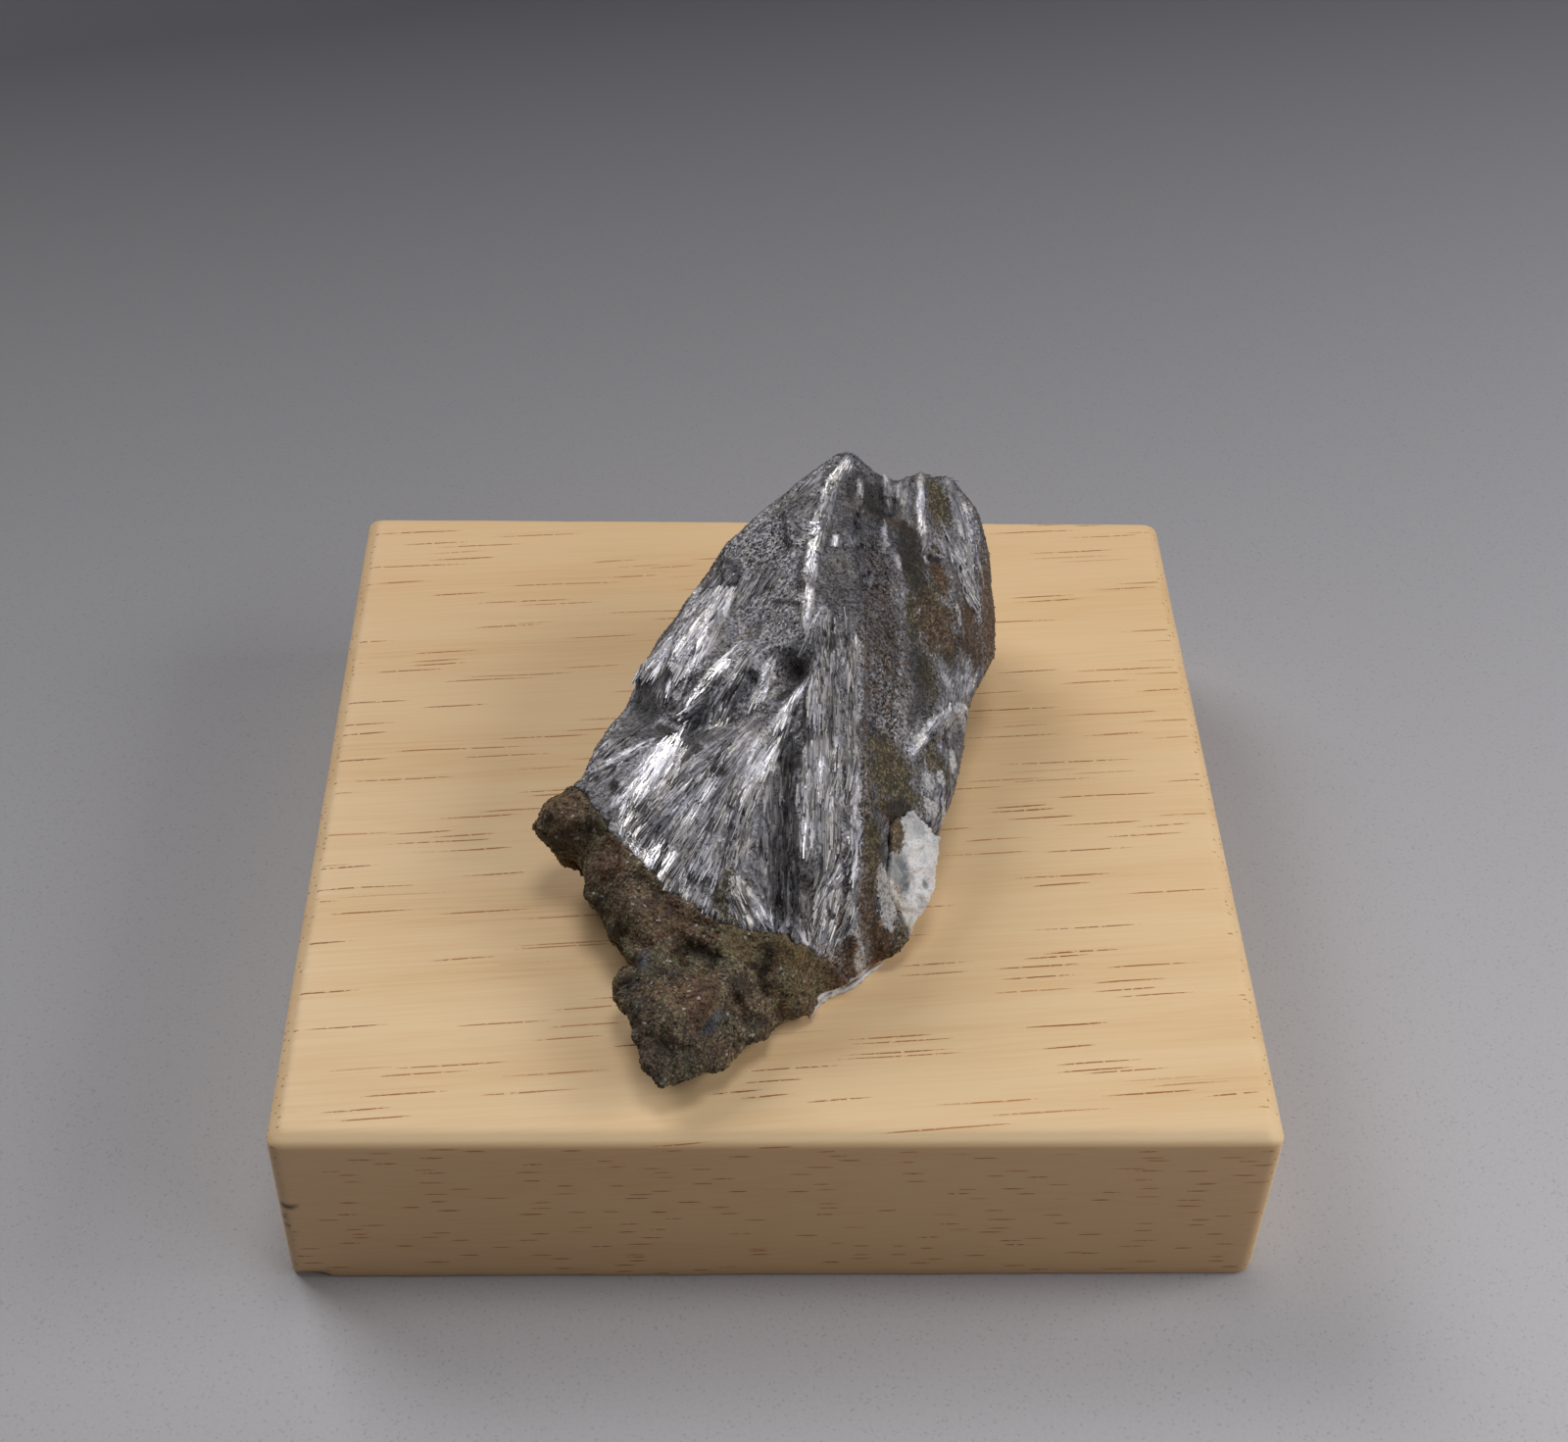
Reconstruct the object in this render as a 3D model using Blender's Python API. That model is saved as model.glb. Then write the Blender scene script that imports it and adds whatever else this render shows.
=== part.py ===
"""Cosalite specimen, a fan of grown-together metallic crystals on dark rock, resting on a square pine block.

Lengths are in millimetres and become metres where a mesh is made. The frame's origin is the middle of the
block's underside, +X runs along the wood's grain, +Y to the back and +Z up. Heights of the stone's landmarks
are above the block's top face.
"""

import math

import bmesh
import bpy
from mathutils import Vector, noise
from mathutils.bvhtree import BVHTree
from mathutils.geometry import delaunay_2d_cdt

MM = 0.001

BLOCK_LENGTH = 89.0  # 3 1/2 in, along the grain
BLOCK_WIDTH = 87.0
BLOCK_HEIGHT = 20.5
BLOCK_ARRIS = 1.3  # planed top edges
BLOCK_CORNER = 1.4  # radius of the upright corners
CORNER_STEPS = 4

GAP = 0.3  # between pieces that touch
STONE_FOOT = BLOCK_HEIGHT + GAP

# The widest ring of the stone, seen from above, going round from its right tip to the front: x, y, height.
GIRDLE = {
    "right_tip": (22.9, 11.7, 9.0),
    "right_tip_low": (22.8, 9.5, 9.0),
    "right_waist": (20.3, 4.2, 8.5),
    "right_side": (19.3, -1.0, 8.0),
    "right_hollow": (18.0, -6.9, 8.0),
    "right_neck": (16.4, -11.5, 7.0),
    "quartz_top": (15.5, -14.8, 6.5),
    "quartz_side": (15.5, -18.0, 4.5),
    "quartz_end": (13.9, -20.2, 4.0),
    "rim_right": (12.6, -22.4, 2.5),
    "rim_corner": (11.3, -24.0, 1.6),
    "rim_middle": (8.8, -24.3, 0.6),
    "rim_inner": (6.6, -26.7, 0.6),
    "rim_left": (4.0, -28.1, 0.6),
    "front_right": (0.6, -32.0, 1.5),
    "front_step": (-2.5, -35.5, 2.3),
    "front_middle": (-5.2, -38.0, 2.5),
    "tip_right": (-8.9, -40.3, 3.5),
    "tip": (-11.3, -40.5, 3.5),
    "tip_left": (-13.5, -35.5, 5.0),
    "foot_left": (-14.3, -31.0, 5.5),
    "notch": (-12.9, -27.5, 5.5),
    "left_low": (-17.4, -21.4, 6.0),
    "left_step": (-17.9, -17.8, 5.0),
    "left_middle": (-18.9, -16.2, 5.0),
    "bulge_low": (-21.5, -15.0, 7.0),
    "bulge": (-22.6, -13.6, 8.8),
    "bulge_top": (-20.2, -11.2, 10.0),
    "left_dip": (-18.2, -10.0, 11.0),
    "left_high": (-16.5, -5.0, 12.0),
    "left_corner": (-14.2, -1.5, 12.5),
    "left_notch": (-13.5, 2.5, 12.0),
    "back_left": (-12.0, 9.5, 9.5),
    "back_low_left": (-8.0, 17.0, 9.0),
    "back_low": (1.0, 25.5, 9.0),
    "back_middle": (10.0, 28.0, 9.0),
    "back_low_right": (17.5, 27.5, 9.0),
    "back_right": (22.0, 24.3, 9.5),
    "right_back": (22.9, 18.5, 9.5),
}

# The crest, the ridges and the hollows inside that ring: x, y, height.
TOP = {
    "apex": (7.4, 21.8, 26.0),
    "apex_right": (9.8, 20.6, 23.8),
    "crest_dip": (12.6, 20.5, 22.8),
    "crest_right": (15.0, 22.3, 22.3),
    "crest_corner": (18.2, 23.6, 21.3),
    "shoulder_top": (20.3, 21.6, 19.5),
    "shoulder": (21.3, 21.5, 16.6),
    "right_high": (22.1, 19.0, 15.2),
    "right_high_low": (22.2, 15.2, 12.2),
    "crest_4": (4.2, 20.2, 24.0),
    "crest_3": (-0.4, 17.9, 21.6),
    "crest_2": (-4.4, 15.0, 19.3),
    "crest_1": (-6.9, 11.5, 17.0),
    "crest_0": (-9.6, 8.4, 14.5),
    "ridge_1": (6.0, 18.5, 24.5),
    "ridge_2": (4.0, 10.5, 24.0),
    "ridge_3": (3.0, 3.0, 23.5),
    "ridge_4": (2.5, -2.0, 22.0),
    "face_high": (-1.5, 12.0, 20.0),
    "face_low": (-3.0, 2.0, 18.5),
    "ledge": (-4.0, 9.5, 18.4),
    "pit": (2.0, -5.2, 18.8),
    "recess": (11.0, 16.0, 21.3),
    "column_head": (6.0, -2.0, 23.0),
    "column_right_1": (8.0, -3.0, 21.7),
    "column_right_2": (7.7, -12.5, 18.2),
    "column_right_3": (8.0, -20.5, 13.5),
    "column_right_4": (7.0, -26.0, 9.3),
    "column_left_1": (4.0, -7.5, 20.5),
    "column_left_2": (3.0, -16.5, 17.0),
    "column_left_3": (2.5, -23.0, 13.5),
    "column_left_4": (2.0, -28.0, 10.3),
    "groove_1": (0.5, -14.0, 15.5),
    "groove_2": (0.5, -20.5, 12.0),
    "groove_3": (0.5, -27.0, 9.3),
    "fan_1": (-4.5, -15.0, 15.5),
    "fan_2": (-8.5, -18.5, 12.5),
    "fan_3": (-9.0, -23.5, 9.7),
    "fan_4": (-13.5, -18.0, 10.2),
    "sheaf_1_top": (-8.5, 4.0, 17.3),
    "sheaf_1_foot": (-11.5, 0.0, 15.0),
    "valley_1": (-8.5, -6.0, 13.3),
    "valley_2": (-13.0, -2.5, 12.2),
    "valley_3": (-3.0, -8.5, 15.8),
    "sheaf_2_top": (-4.5, -4.0, 18.3),
    "sheaf_4_top": (-9.0, -10.0, 15.2),
    "sheaf_4_foot": (-13.5, -15.0, 12.3),
    "left_inner": (-16.5, -10.5, 11.7),
    "flank_1": (10.5, 6.0, 21.0),
    "flank_2": (12.5, -3.0, 16.5),
    "flank_3": (13.0, -9.0, 12.5),
    "flank_4": (13.0, -14.0, 9.5),
    "flank_5": (16.5, 10.0, 17.5),
    "flank_6": (19.0, 9.5, 13.5),
    "flank_7": (13.0, 14.5, 21.7),
    "flank_8": (17.5, 19.0, 19.5),
    "flank_low": (9.5, -19.0, 10.5),
    "quartz_inner": (12.5, -18.0, 7.3),
    "quartz_foot": (11.2, -21.3, 5.5),
    "right_inner": (8.5, -22.6, 7.6),
    "right_low": (6.0, -25.6, 5.5),
    "rock_1": (-4.5, -27.5, 8.3),
    "rock_2": (-9.0, -26.0, 8.3),
    "rock_3": (0.3, -29.3, 8.8),
    "rock_4": (2.6, -28.0, 6.6),
    "crevice": (-8.0, -28.0, 6.3),
    "low_1": (-4.5, -33.0, 7.7),
    "low_2": (-9.0, -35.5, 7.4),
    "low_3": (-1.2, -31.7, 5.2),
    "low_4": (-12.0, -30.5, 7.0),
    "low_5": (-6.5, -36.5, 5.6),
    "low_6": (-10.6, -38.4, 5.6),
    "side_1": (-16.8, -17.6, 9.5),
    "side_2": (-13.5, -24.5, 8.5),
    "side_3": (-11.5, -27.0, 7.0),
    "bulge_inner": (-18.0, -15.5, 11.0),
    "back_1": (3.0, 24.0, 17.0),
    "back_2": (-4.5, 18.0, 14.0),
    "back_3": (12.0, 25.2, 16.5),
    "back_4": (18.5, 25.0, 14.5),
    "back_5": (-9.8, 11.0, 12.0),
}

# The middle line of the stone that its sides lean in towards as they go down, and how far they lean.
SPINE = (Vector((-7.0, -30.0)), Vector((10.0, 14.0)))
BACK_UNDERCUT = 0.42
FRONT_UNDERCUT = 1.15

# Crystal plates that stand out of the surface: head x, y, tail x, y, width at the head and at the tail, lift.
PLATES = {
    "apex_blade": (7.4, 20.9, 5.6, 17.2, 1.2, 1.8, 0.6),
    "apex_right": (8.6, 20.2, 9.6, 16.6, 0.8, 1.2, 0.5),
    "apex_needle": (11.3, 21.6, 11.6, 18.2, 0.5, 0.6, 0.9),
    "face_edge": (1.6, 17.6, 2.6, 9.4, 1.4, 2.2, 0.4),
    "ridge_blade_1": (5.2, 14.8, 3.6, 9.0, 0.9, 1.5, 0.6),
    "ridge_blade_2": (3.6, 9.6, 2.9, 3.4, 1.2, 1.4, 0.8),
    "ledge_plate": (-4.4, 12.6, -3.4, 9.0, 1.8, 2.8, 0.6),
    "sheaf_1_left": (-6.3, 8.8, -12.2, -0.4, 1.7, 2.3, 0.8),
    "sheaf_1_middle": (-4.9, 7.4, -9.6, -0.8, 1.5, 2.3, 1.1),
    "sheaf_1_right": (-3.6, 6.4, -7.1, 0.6, 1.0, 1.5, 0.7),
    "sheaf_2": (-3.6, -0.8, -8.1, -5.3, 1.3, 2.4, 1.1),
    "sheaf_3": (-0.4, -1.9, -1.9, -4.4, 1.1, 1.6, 0.9),
    "sheaf_4_left": (-9.6, -7.4, -14.4, -13.2, 1.9, 2.4, 1.0),
    "sheaf_4_right": (-8.1, -8.6, -12.4, -15.2, 2.0, 2.7, 1.4),
    "sheaf_4_outer": (-12.6, -8.2, -16.4, -10.9, 1.1, 1.5, 0.8),
    "fan_bright": (0.7, -6.2, -5.0, -13.8, 1.6, 2.6, 1.1),
    "fan_left": (-4.8, -12.0, -12.2, -18.0, 1.4, 2.4, 0.8),
    "fan_middle": (-2.8, -12.4, -10.0, -20.8, 1.5, 2.6, 0.9),
    "fan_inner": (-1.6, -12.0, -6.9, -22.2, 1.5, 2.6, 0.7),
    "fan_right": (-0.6, -13.6, -4.4, -24.4, 1.4, 2.4, 0.6),
    "fan_foot": (-3.0, -20.6, -0.8, -26.6, 1.5, 2.2, 0.8),
    "groove_blade": (1.0, -13.0, 0.3, -25.0, 0.8, 1.2, 0.4),
    "column_left": (3.9, -7.4, 2.6, -24.0, 1.4, 1.9, 0.9),
    "column_middle": (5.6, -3.0, 5.0, -24.6, 1.4, 2.0, 1.0),
    "column_right": (7.5, -2.6, 7.2, -22.4, 1.2, 1.5, 1.2),
    "shoulder_blade_1": (15.4, 21.8, 14.9, 15.4, 1.1, 1.3, 0.9),
    "shoulder_blade_2": (18.6, 22.3, 18.6, 14.6, 1.1, 1.8, 0.9),
    "shoulder_blade_3": (20.4, 20.2, 20.4, 10.6, 1.3, 1.8, 0.8),
    "shoulder_blade_4": (16.6, 16.2, 18.0, 9.0, 1.0, 1.3, 0.8),
    "recess_blade": (12.6, 14.6, 11.6, 10.0, 0.9, 1.2, 0.8),
    "right_sheaf": (18.2, 1.4, 14.2, -5.4, 1.3, 2.6, 0.9),
    "right_sheaf_low": (16.8, -5.4, 14.8, -12.2, 1.0, 1.5, 0.6),
}
PLATE_ROOT = 1.6  # how deep a plate is set in the stone

# Hollows: x, y, radius, depth.
HOLLOWS = {
    "pit": (1.6, -4.6, 1.5, 1.2),
    "recess": (11.6, 17.4, 2.4, 1.3),
    "recess_low": (15.6, 12.6, 1.8, 0.9),
    "valley": (-8.4, -6.4, 2.4, 0.9),
    "crevice": (-7.8, -28.6, 1.5, 1.6),
    "crevice_foot": (-6.2, -29.8, 1.3, 1.0),
    "pocket": (-3.2, -33.6, 1.2, 1.4),
    "pocket_right": (0.6, -32.2, 1.6, 1.0),
    "notch": (-13.4, -28.6, 1.6, 1.2),
}

# Where the rock's surface ends and the crystals begin, from the left edge round to the right rim: x, y, height.
ROCK_EDGE = {
    "outside_left": (-26.0, -6.5, 11.0),
    "left": (-17.8, -12.6, 11.0),
    "bright_left": (-14.2, -17.8, 10.0),
    "bright_right": (-9.6, -23.4, 9.5),
    "fan_left": (-5.0, -26.6, 8.5),
    "fan_right": (0.6, -28.3, 9.0),
    "column": (3.2, -28.6, 6.5),
    "outside_front": (8.0, -33.0, 1.0),
}
CRYSTAL_SIDE = Vector((0.62, 0.78))  # from the rock towards the crystals, level
CONTACT_RISE = 14.0  # the contact plane climbs this much above the edge, and as far away from the crystals
CONTACT_DROP = 13.0
CONTACT_SLOPE = 0.9

# The quartz, seen from above, and the thin lip that it sends under the right front rim: x, y.
QUARTZ_PLAN = ((10.6, -16.0), (12.6, -13.6), (26.0, -13.0), (26.0, -24.0), (14.2, -23.2), (10.2, -20.8))
LIP_PLAN = ((9.6, -17.2), (20.0, -15.0), (20.0, -28.0), (6.0, -34.0), (2.6, -28.4), (6.6, -23.6), (8.0, -20.0))
LIP_HEIGHT = 0.65

VOXEL = 0.34  # the fused form is rebuilt at this pitch before its relief
STONE_TRIANGLES = 8200
LUMP_SIZE = 2.6
GRAIN_SIZE = 1.1
CRYSTAL_RELIEF = 0.22  # the crystals' unevenness against the rock's


def clear_scene():
    """Remove everything that the scene starts with."""
    for obj in list(bpy.data.objects):
        bpy.data.objects.remove(obj, do_unlink=True)


def finish(name, colour, roughness, metallic):
    """A plain Principled material."""
    material = bpy.data.materials.new(name)
    material.use_nodes = True
    shader = material.node_tree.nodes["Principled BSDF"]
    shader.inputs["Base Color"].default_value = (*colour, 1.0)
    shader.inputs["Roughness"].default_value = roughness
    shader.inputs["Metallic"].default_value = metallic
    return material


def object_from(name, form, material=None, helper=False):
    """A mesh object from a bmesh in millimetres. A helper is a wire guide that isn't part of the object."""
    bmesh.ops.scale(form, vec=(MM, MM, MM), verts=form.verts)
    mesh = bpy.data.meshes.new(name)
    form.to_mesh(mesh)
    form.free()
    obj = bpy.data.objects.new(name, mesh)
    bpy.context.scene.collection.objects.link(obj)
    if material:
        mesh.materials.append(material)
    if helper:
        obj.hide_render = True
        obj.display_type = "WIRE"
    return obj


def bake_modifiers(obj):
    """Put the object's evaluated mesh in place of its own and drop its modifiers."""
    graph = bpy.context.evaluated_depsgraph_get()
    mesh = bpy.data.meshes.new_from_object(obj.evaluated_get(graph))
    obj.modifiers.clear()
    obj.data = mesh


def placed(point):
    """A landmark (x, y, height above the block) in the frame."""
    x, y, height = point
    return Vector((x, y, STONE_FOOT + height))


def towards_spine(place):
    """The level direction from a point of the girdle to the nearest point of the spine, and that distance."""
    start, end = SPINE
    along = end - start
    share = min(max((place - start).dot(along) / along.length_squared, 0.0), 1.0)
    inward = start + along * share - place
    return inward.normalized(), inward.length


def side_ring(ring, drop):
    """The girdle carried down the sides: drop 0 is the girdle, 1 the foot. Sides that face the front lean in most."""
    lowered = []
    for i, (x, y, height) in enumerate(ring):
        along = Vector(ring[(i + 1) % len(ring)][:2]) - Vector(ring[i - 1][:2])
        spineward, distance = towards_spine(Vector((x, y)))
        inward = (Vector((along.y, -along.x)).normalized() + 0.6 * spineward).normalized()
        front = min(max(1.6 * inward.y, 0.0), 1.0)
        undercut = BACK_UNDERCUT + (FRONT_UNDERCUT - BACK_UNDERCUT) * front
        lean = inward * min(height * undercut, 0.7 * distance) * drop ** (1.6 - 0.7 * front)
        lowered.append(placed((x + lean.x, y + lean.y, height * (1.0 - drop))))
    return lowered


def stone_core():
    """The closed, coarse stone: a surface through the landmarks, sides that lean in, and a flat foot."""
    ring = list(GIRDLE.values())
    points = ring + list(TOP.values())
    plan = [Vector(point[:2]) for point in points]
    edges = [(i, (i + 1) % len(ring)) for i in range(len(ring))]
    _, _, faces, origins, _, _ = delaunay_2d_cdt(plan, edges, [], 1, 1e-4)
    form = bmesh.new()
    top = [form.verts.new(placed(point)) for point in points]
    for face in faces:
        form.faces.new([top[origins[i][0]] for i in face])
    upper = top[: len(ring)]
    for drop in (0.5, 1.0):
        lower = [form.verts.new(point) for point in side_ring(ring, drop)]
        for i, vert in enumerate(upper):
            after = (i + 1) % len(ring)
            form.faces.new((vert, lower[i], lower[after], upper[after]))
        upper = lower
    form.faces.new(upper)
    bmesh.ops.triangulate(form, faces=form.faces)
    bmesh.ops.recalc_face_normals(form, faces=form.faces)
    return form


def soften(form):
    """Split the coarse faces and ease the folds between them."""
    bmesh.ops.subdivide_edges(form, edges=form.edges, cuts=2, use_grid_fill=True)
    bmesh.ops.triangulate(form, faces=form.faces)
    bmesh.ops.smooth_vert(
        form, verts=form.verts, factor=0.4, use_axis_x=True, use_axis_y=True, use_axis_z=True
    )


def height_on(tree, x, y):
    """The z of the surface under a plan point."""
    hit, _, _, _ = tree.ray_cast(Vector((x, y, 200.0)), Vector((0.0, 0.0, -1.0)))
    return hit.z


def plate(form, tree, values):
    """A tapering, roof-shaped crystal plate that lies on the surface from head to tail."""
    head_x, head_y, tail_x, tail_y, head_width, tail_width, lift = values
    head = Vector((head_x, head_y, height_on(tree, head_x, head_y)))
    tail = Vector((tail_x, tail_y, height_on(tree, tail_x, tail_y)))
    side = (tail - head).cross(Vector((0.0, 0.0, 1.0))).normalized()
    up = side.cross(tail - head).normalized()
    rings = []
    for centre, width, rise in ((head, head_width, 0.35 * lift), (tail, tail_width, lift)):
        outline = (
            (-0.5 * width, -PLATE_ROOT),
            (0.5 * width, -PLATE_ROOT),
            (0.5 * width, 0.45 * rise),
            (0.12 * width, rise),
            (-0.5 * width, 0.15 * rise),
        )
        rings.append([form.verts.new(centre + side * across + up * above) for across, above in outline])
    first, last = rings
    for i in range(len(first)):
        after = (i + 1) % len(first)
        form.faces.new((first[i], first[after], last[after], last[i]))
    form.faces.new(first[::-1])
    form.faces.new(last)


def rock_share(x, y):
    """1 on the rock's side of its edge, 0 among the crystals, seen from above."""
    edge = [Vector(point[:2]) for point in ROCK_EDGE.values()]
    place = Vector((x, y))
    nearest = None
    for start, end in zip(edge, edge[1:]):
        along = end - start
        share = min(max((place - start).dot(along) / along.length_squared, 0.0), 1.0)
        away = place - (start + along * share)
        if nearest is None or away.length < nearest.length:
            nearest = away
    return min(max(0.5 - 0.5 * nearest.dot(CRYSTAL_SIDE), 0.0), 1.0)


def relief(place):
    """How far the surface stands out at a point: lumps and grain on the rock, fine unevenness on the crystals."""
    rock = rock_share(place.x, place.y)
    lumps = noise.noise(place / LUMP_SIZE) * 0.85
    grain = noise.noise(place / GRAIN_SIZE + Vector((7.0, 3.0, 5.0))) * 0.38
    depth = (CRYSTAL_RELIEF + (1.0 - CRYSTAL_RELIEF) * rock) * lumps + rock * grain
    for x, y, radius, hollow in HOLLOWS.values():
        distance = (Vector((x, y)) - place.xy).length / radius
        if distance < 1.0:
            depth -= hollow * (1.0 - distance * distance) ** 2
    return depth


def stone_form():
    """The whole stone as one object: core and plates fused, then given its relief."""
    form = stone_core()
    soften(form)
    tree = BVHTree.FromBMesh(form)
    for values in PLATES.values():
        plate(form, tree, values)
    bmesh.ops.recalc_face_normals(form, faces=form.faces)
    stone = object_from("stone_form", form, helper=True)
    fuse = stone.modifiers.new("Fuse", "REMESH")
    fuse.mode = "VOXEL"
    fuse.voxel_size = VOXEL * MM
    bake_modifiers(stone)
    normals = [vertex.normal.copy() for vertex in stone.data.vertices]
    for vertex, normal in zip(stone.data.vertices, normals):
        place = vertex.co / MM
        moved = place + normal * relief(place)
        moved.z = max(moved.z, STONE_FOOT)
        vertex.co = moved * MM
    thin = stone.modifiers.new("Facets", "DECIMATE")
    thin.ratio = STONE_TRIANGLES / sum(len(face.vertices) - 2 for face in stone.data.polygons)
    bake_modifiers(stone)
    return stone


def prism(name, lower, upper):
    """A closed solid between two rings of the same number of points."""
    form = bmesh.new()
    bottom = [form.verts.new(point) for point in lower]
    top = [form.verts.new(point) for point in upper]
    for i in range(len(bottom)):
        after = (i + 1) % len(bottom)
        form.faces.new((bottom[i], bottom[after], top[after], top[i]))
    form.faces.new(bottom[::-1])
    form.faces.new(top)
    bmesh.ops.triangulate(form, faces=form.faces)
    bmesh.ops.recalc_face_normals(form, faces=form.faces)
    return object_from(name, form, helper=True)


def rock_zone(name, grow):
    """The space on the rock's side of its sloping contact with the crystals, grown by a distance."""
    lower, upper = [], []
    for x, y, height in ROCK_EDGE.values():
        edge = placed((x + CRYSTAL_SIDE.x * grow, y + CRYSTAL_SIDE.y * grow, height))
        away = Vector((*(CRYSTAL_SIDE * CONTACT_SLOPE), 0.0))
        lower.append(edge + away * CONTACT_DROP - Vector((0.0, 0.0, CONTACT_DROP)))
        upper.append(edge - away * CONTACT_RISE + Vector((0.0, 0.0, CONTACT_RISE)))
    for x, y in ((10.0, -75.0), (-75.0, -75.0), (-75.0, 20.0)):
        lower.append(Vector((x, y, lower[0].z)))
        upper.append(Vector((x, y, upper[0].z)))
    return prism(name, lower, upper)


def grown_plan(plan, grow):
    """A plan outline with every corner moved out from the middle by about a distance."""
    middle = sum((Vector(corner) for corner in plan), Vector((0.0, 0.0))) / len(plan)
    return [Vector(corner) + (Vector(corner) - middle).normalized() * grow for corner in plan]


def upright_zone(name, plan, low, high):
    """The space over a plan outline between two heights."""
    return prism(name, [Vector((*p, low)) for p in plan], [Vector((*p, high)) for p in plan])


def cut(obj, zone, operation):
    """Boolean the object with a zone."""
    boolean = obj.modifiers.new(zone.name, "BOOLEAN")
    boolean.operation = operation
    boolean.object = zone


def keep_largest_body(obj):
    """Drop the crumbs that the cuts leave."""
    form = bmesh.new()
    form.from_mesh(obj.data)
    seen, bodies = set(), []
    for start in form.verts:
        if start in seen:
            continue
        body, queue = set(), [start]
        while queue:
            vert = queue.pop()
            if vert not in body:
                body.add(vert)
                queue += [edge.other_vert(vert) for edge in vert.link_edges]
        seen |= body
        bodies.append(body)
    largest = max(bodies, key=len)
    bmesh.ops.delete(form, geom=[vert for vert in form.verts if vert not in largest], context="VERTS")
    form.to_mesh(obj.data)
    form.free()


def piece(name, stone, material, cuts):
    """A piece of the stone: its form cut by zones."""
    obj = bpy.data.objects.new(name, stone.data.copy())
    bpy.context.scene.collection.objects.link(obj)
    obj.data.name = name
    for zone, operation in cuts:
        cut(obj, zone, operation)
    bake_modifiers(obj)
    keep_largest_body(obj)
    obj.data.materials.clear()
    obj.data.materials.append(material)
    return obj


def stone_pieces():
    """The crystals, the rock and the quartz, with a gap where they meet."""
    stone = stone_form()
    floor, ceiling = STONE_FOOT - 5.0, STONE_FOOT + 30.0
    lip_top = STONE_FOOT + LIP_HEIGHT
    rock = rock_zone("rock_zone", 0.0)
    rock_wide = rock_zone("rock_zone_wide", GAP / 0.7)
    quartz = upright_zone("quartz_zone", grown_plan(QUARTZ_PLAN, 0.0), floor, ceiling)
    quartz_wide = upright_zone("quartz_zone_wide", grown_plan(QUARTZ_PLAN, 1.3 * GAP), floor - 1.0, ceiling + 1.0)
    lip = upright_zone("lip_zone", grown_plan(LIP_PLAN, 0.0), floor, lip_top)
    lip_wide = upright_zone("lip_zone_wide", grown_plan(LIP_PLAN, 1.3 * GAP), floor - 1.0, lip_top + GAP)
    cut(quartz, lip, "UNION")
    cut(quartz_wide, lip_wide, "UNION")
    piece(
        "cosalite_crystals",
        stone,
        finish("cosalite", (0.30, 0.30, 0.32), 0.32, 0.85),
        ((rock_wide, "DIFFERENCE"), (quartz_wide, "DIFFERENCE")),
    )
    piece(
        "matrix_rock",
        stone,
        finish("matrix", (0.075, 0.062, 0.040), 0.85, 0.0),
        ((rock, "INTERSECT"), (quartz_wide, "DIFFERENCE")),
    )
    piece(
        "quartz_vein",
        stone,
        finish("quartz", (0.72, 0.72, 0.70), 0.30, 0.0),
        ((quartz, "INTERSECT"),),
    )


def rounded_ring(form, inset, z):
    """A ring of the block's rounded plan, pulled in by a distance, at a height."""
    ring = []
    for x_side, y_side, start in ((1, 1, 0), (-1, 1, 90), (-1, -1, 180), (1, -1, 270)):
        radius = BLOCK_CORNER - 0.7 * inset
        centre_x = x_side * (BLOCK_LENGTH / 2 - inset - radius)
        centre_y = y_side * (BLOCK_WIDTH / 2 - inset - radius)
        for step in range(CORNER_STEPS + 1):
            angle = math.radians(start + 90.0 * step / CORNER_STEPS)
            ring.append(form.verts.new((centre_x + radius * math.cos(angle), centre_y + radius * math.sin(angle), z)))
    return ring


def wood_block():
    """The pine block: top edges planed to an arris, the others only eased."""
    form = bmesh.new()
    eased = 0.3 * BLOCK_ARRIS
    profile = (
        (eased, 0.0),
        (0.0, eased),
        (0.0, BLOCK_HEIGHT - BLOCK_ARRIS),
        (0.35 * BLOCK_ARRIS, BLOCK_HEIGHT - 0.4 * BLOCK_ARRIS),
        (BLOCK_ARRIS, BLOCK_HEIGHT),
    )
    rings = [rounded_ring(form, inset, z) for inset, z in profile]
    for lower, upper in zip(rings, rings[1:]):
        for i, vert in enumerate(lower):
            after = (i + 1) % len(lower)
            form.faces.new((vert, lower[after], upper[after], upper[i]))
    for ring, z in ((rings[0], 0.0), (rings[-1], BLOCK_HEIGHT)):
        middle = form.verts.new((0.0, 0.0, z))
        for i, vert in enumerate(ring):
            form.faces.new((vert, ring[(i + 1) % len(ring)], middle))
    bmesh.ops.recalc_face_normals(form, faces=form.faces)
    return object_from("wood_block", form, finish("pine", (0.62, 0.42, 0.22), 0.55, 0.0))


def main():
    clear_scene()
    wood_block()
    stone_pieces()


main()
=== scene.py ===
"""A fibrous cosalite specimen in its brown matrix, lying on a square pine block.

All sizes are millimetres unless a name says otherwise; the row frame is metres.
"""

from __future__ import annotations

import itertools
import logging
import math
from dataclasses import dataclass, field
from enum import Enum
from typing import Any, ClassVar, Iterable, Sequence

import bmesh
import bpy
import numpy as np
from mathutils import Matrix, Vector
from mathutils.bvhtree import BVHTree

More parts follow.
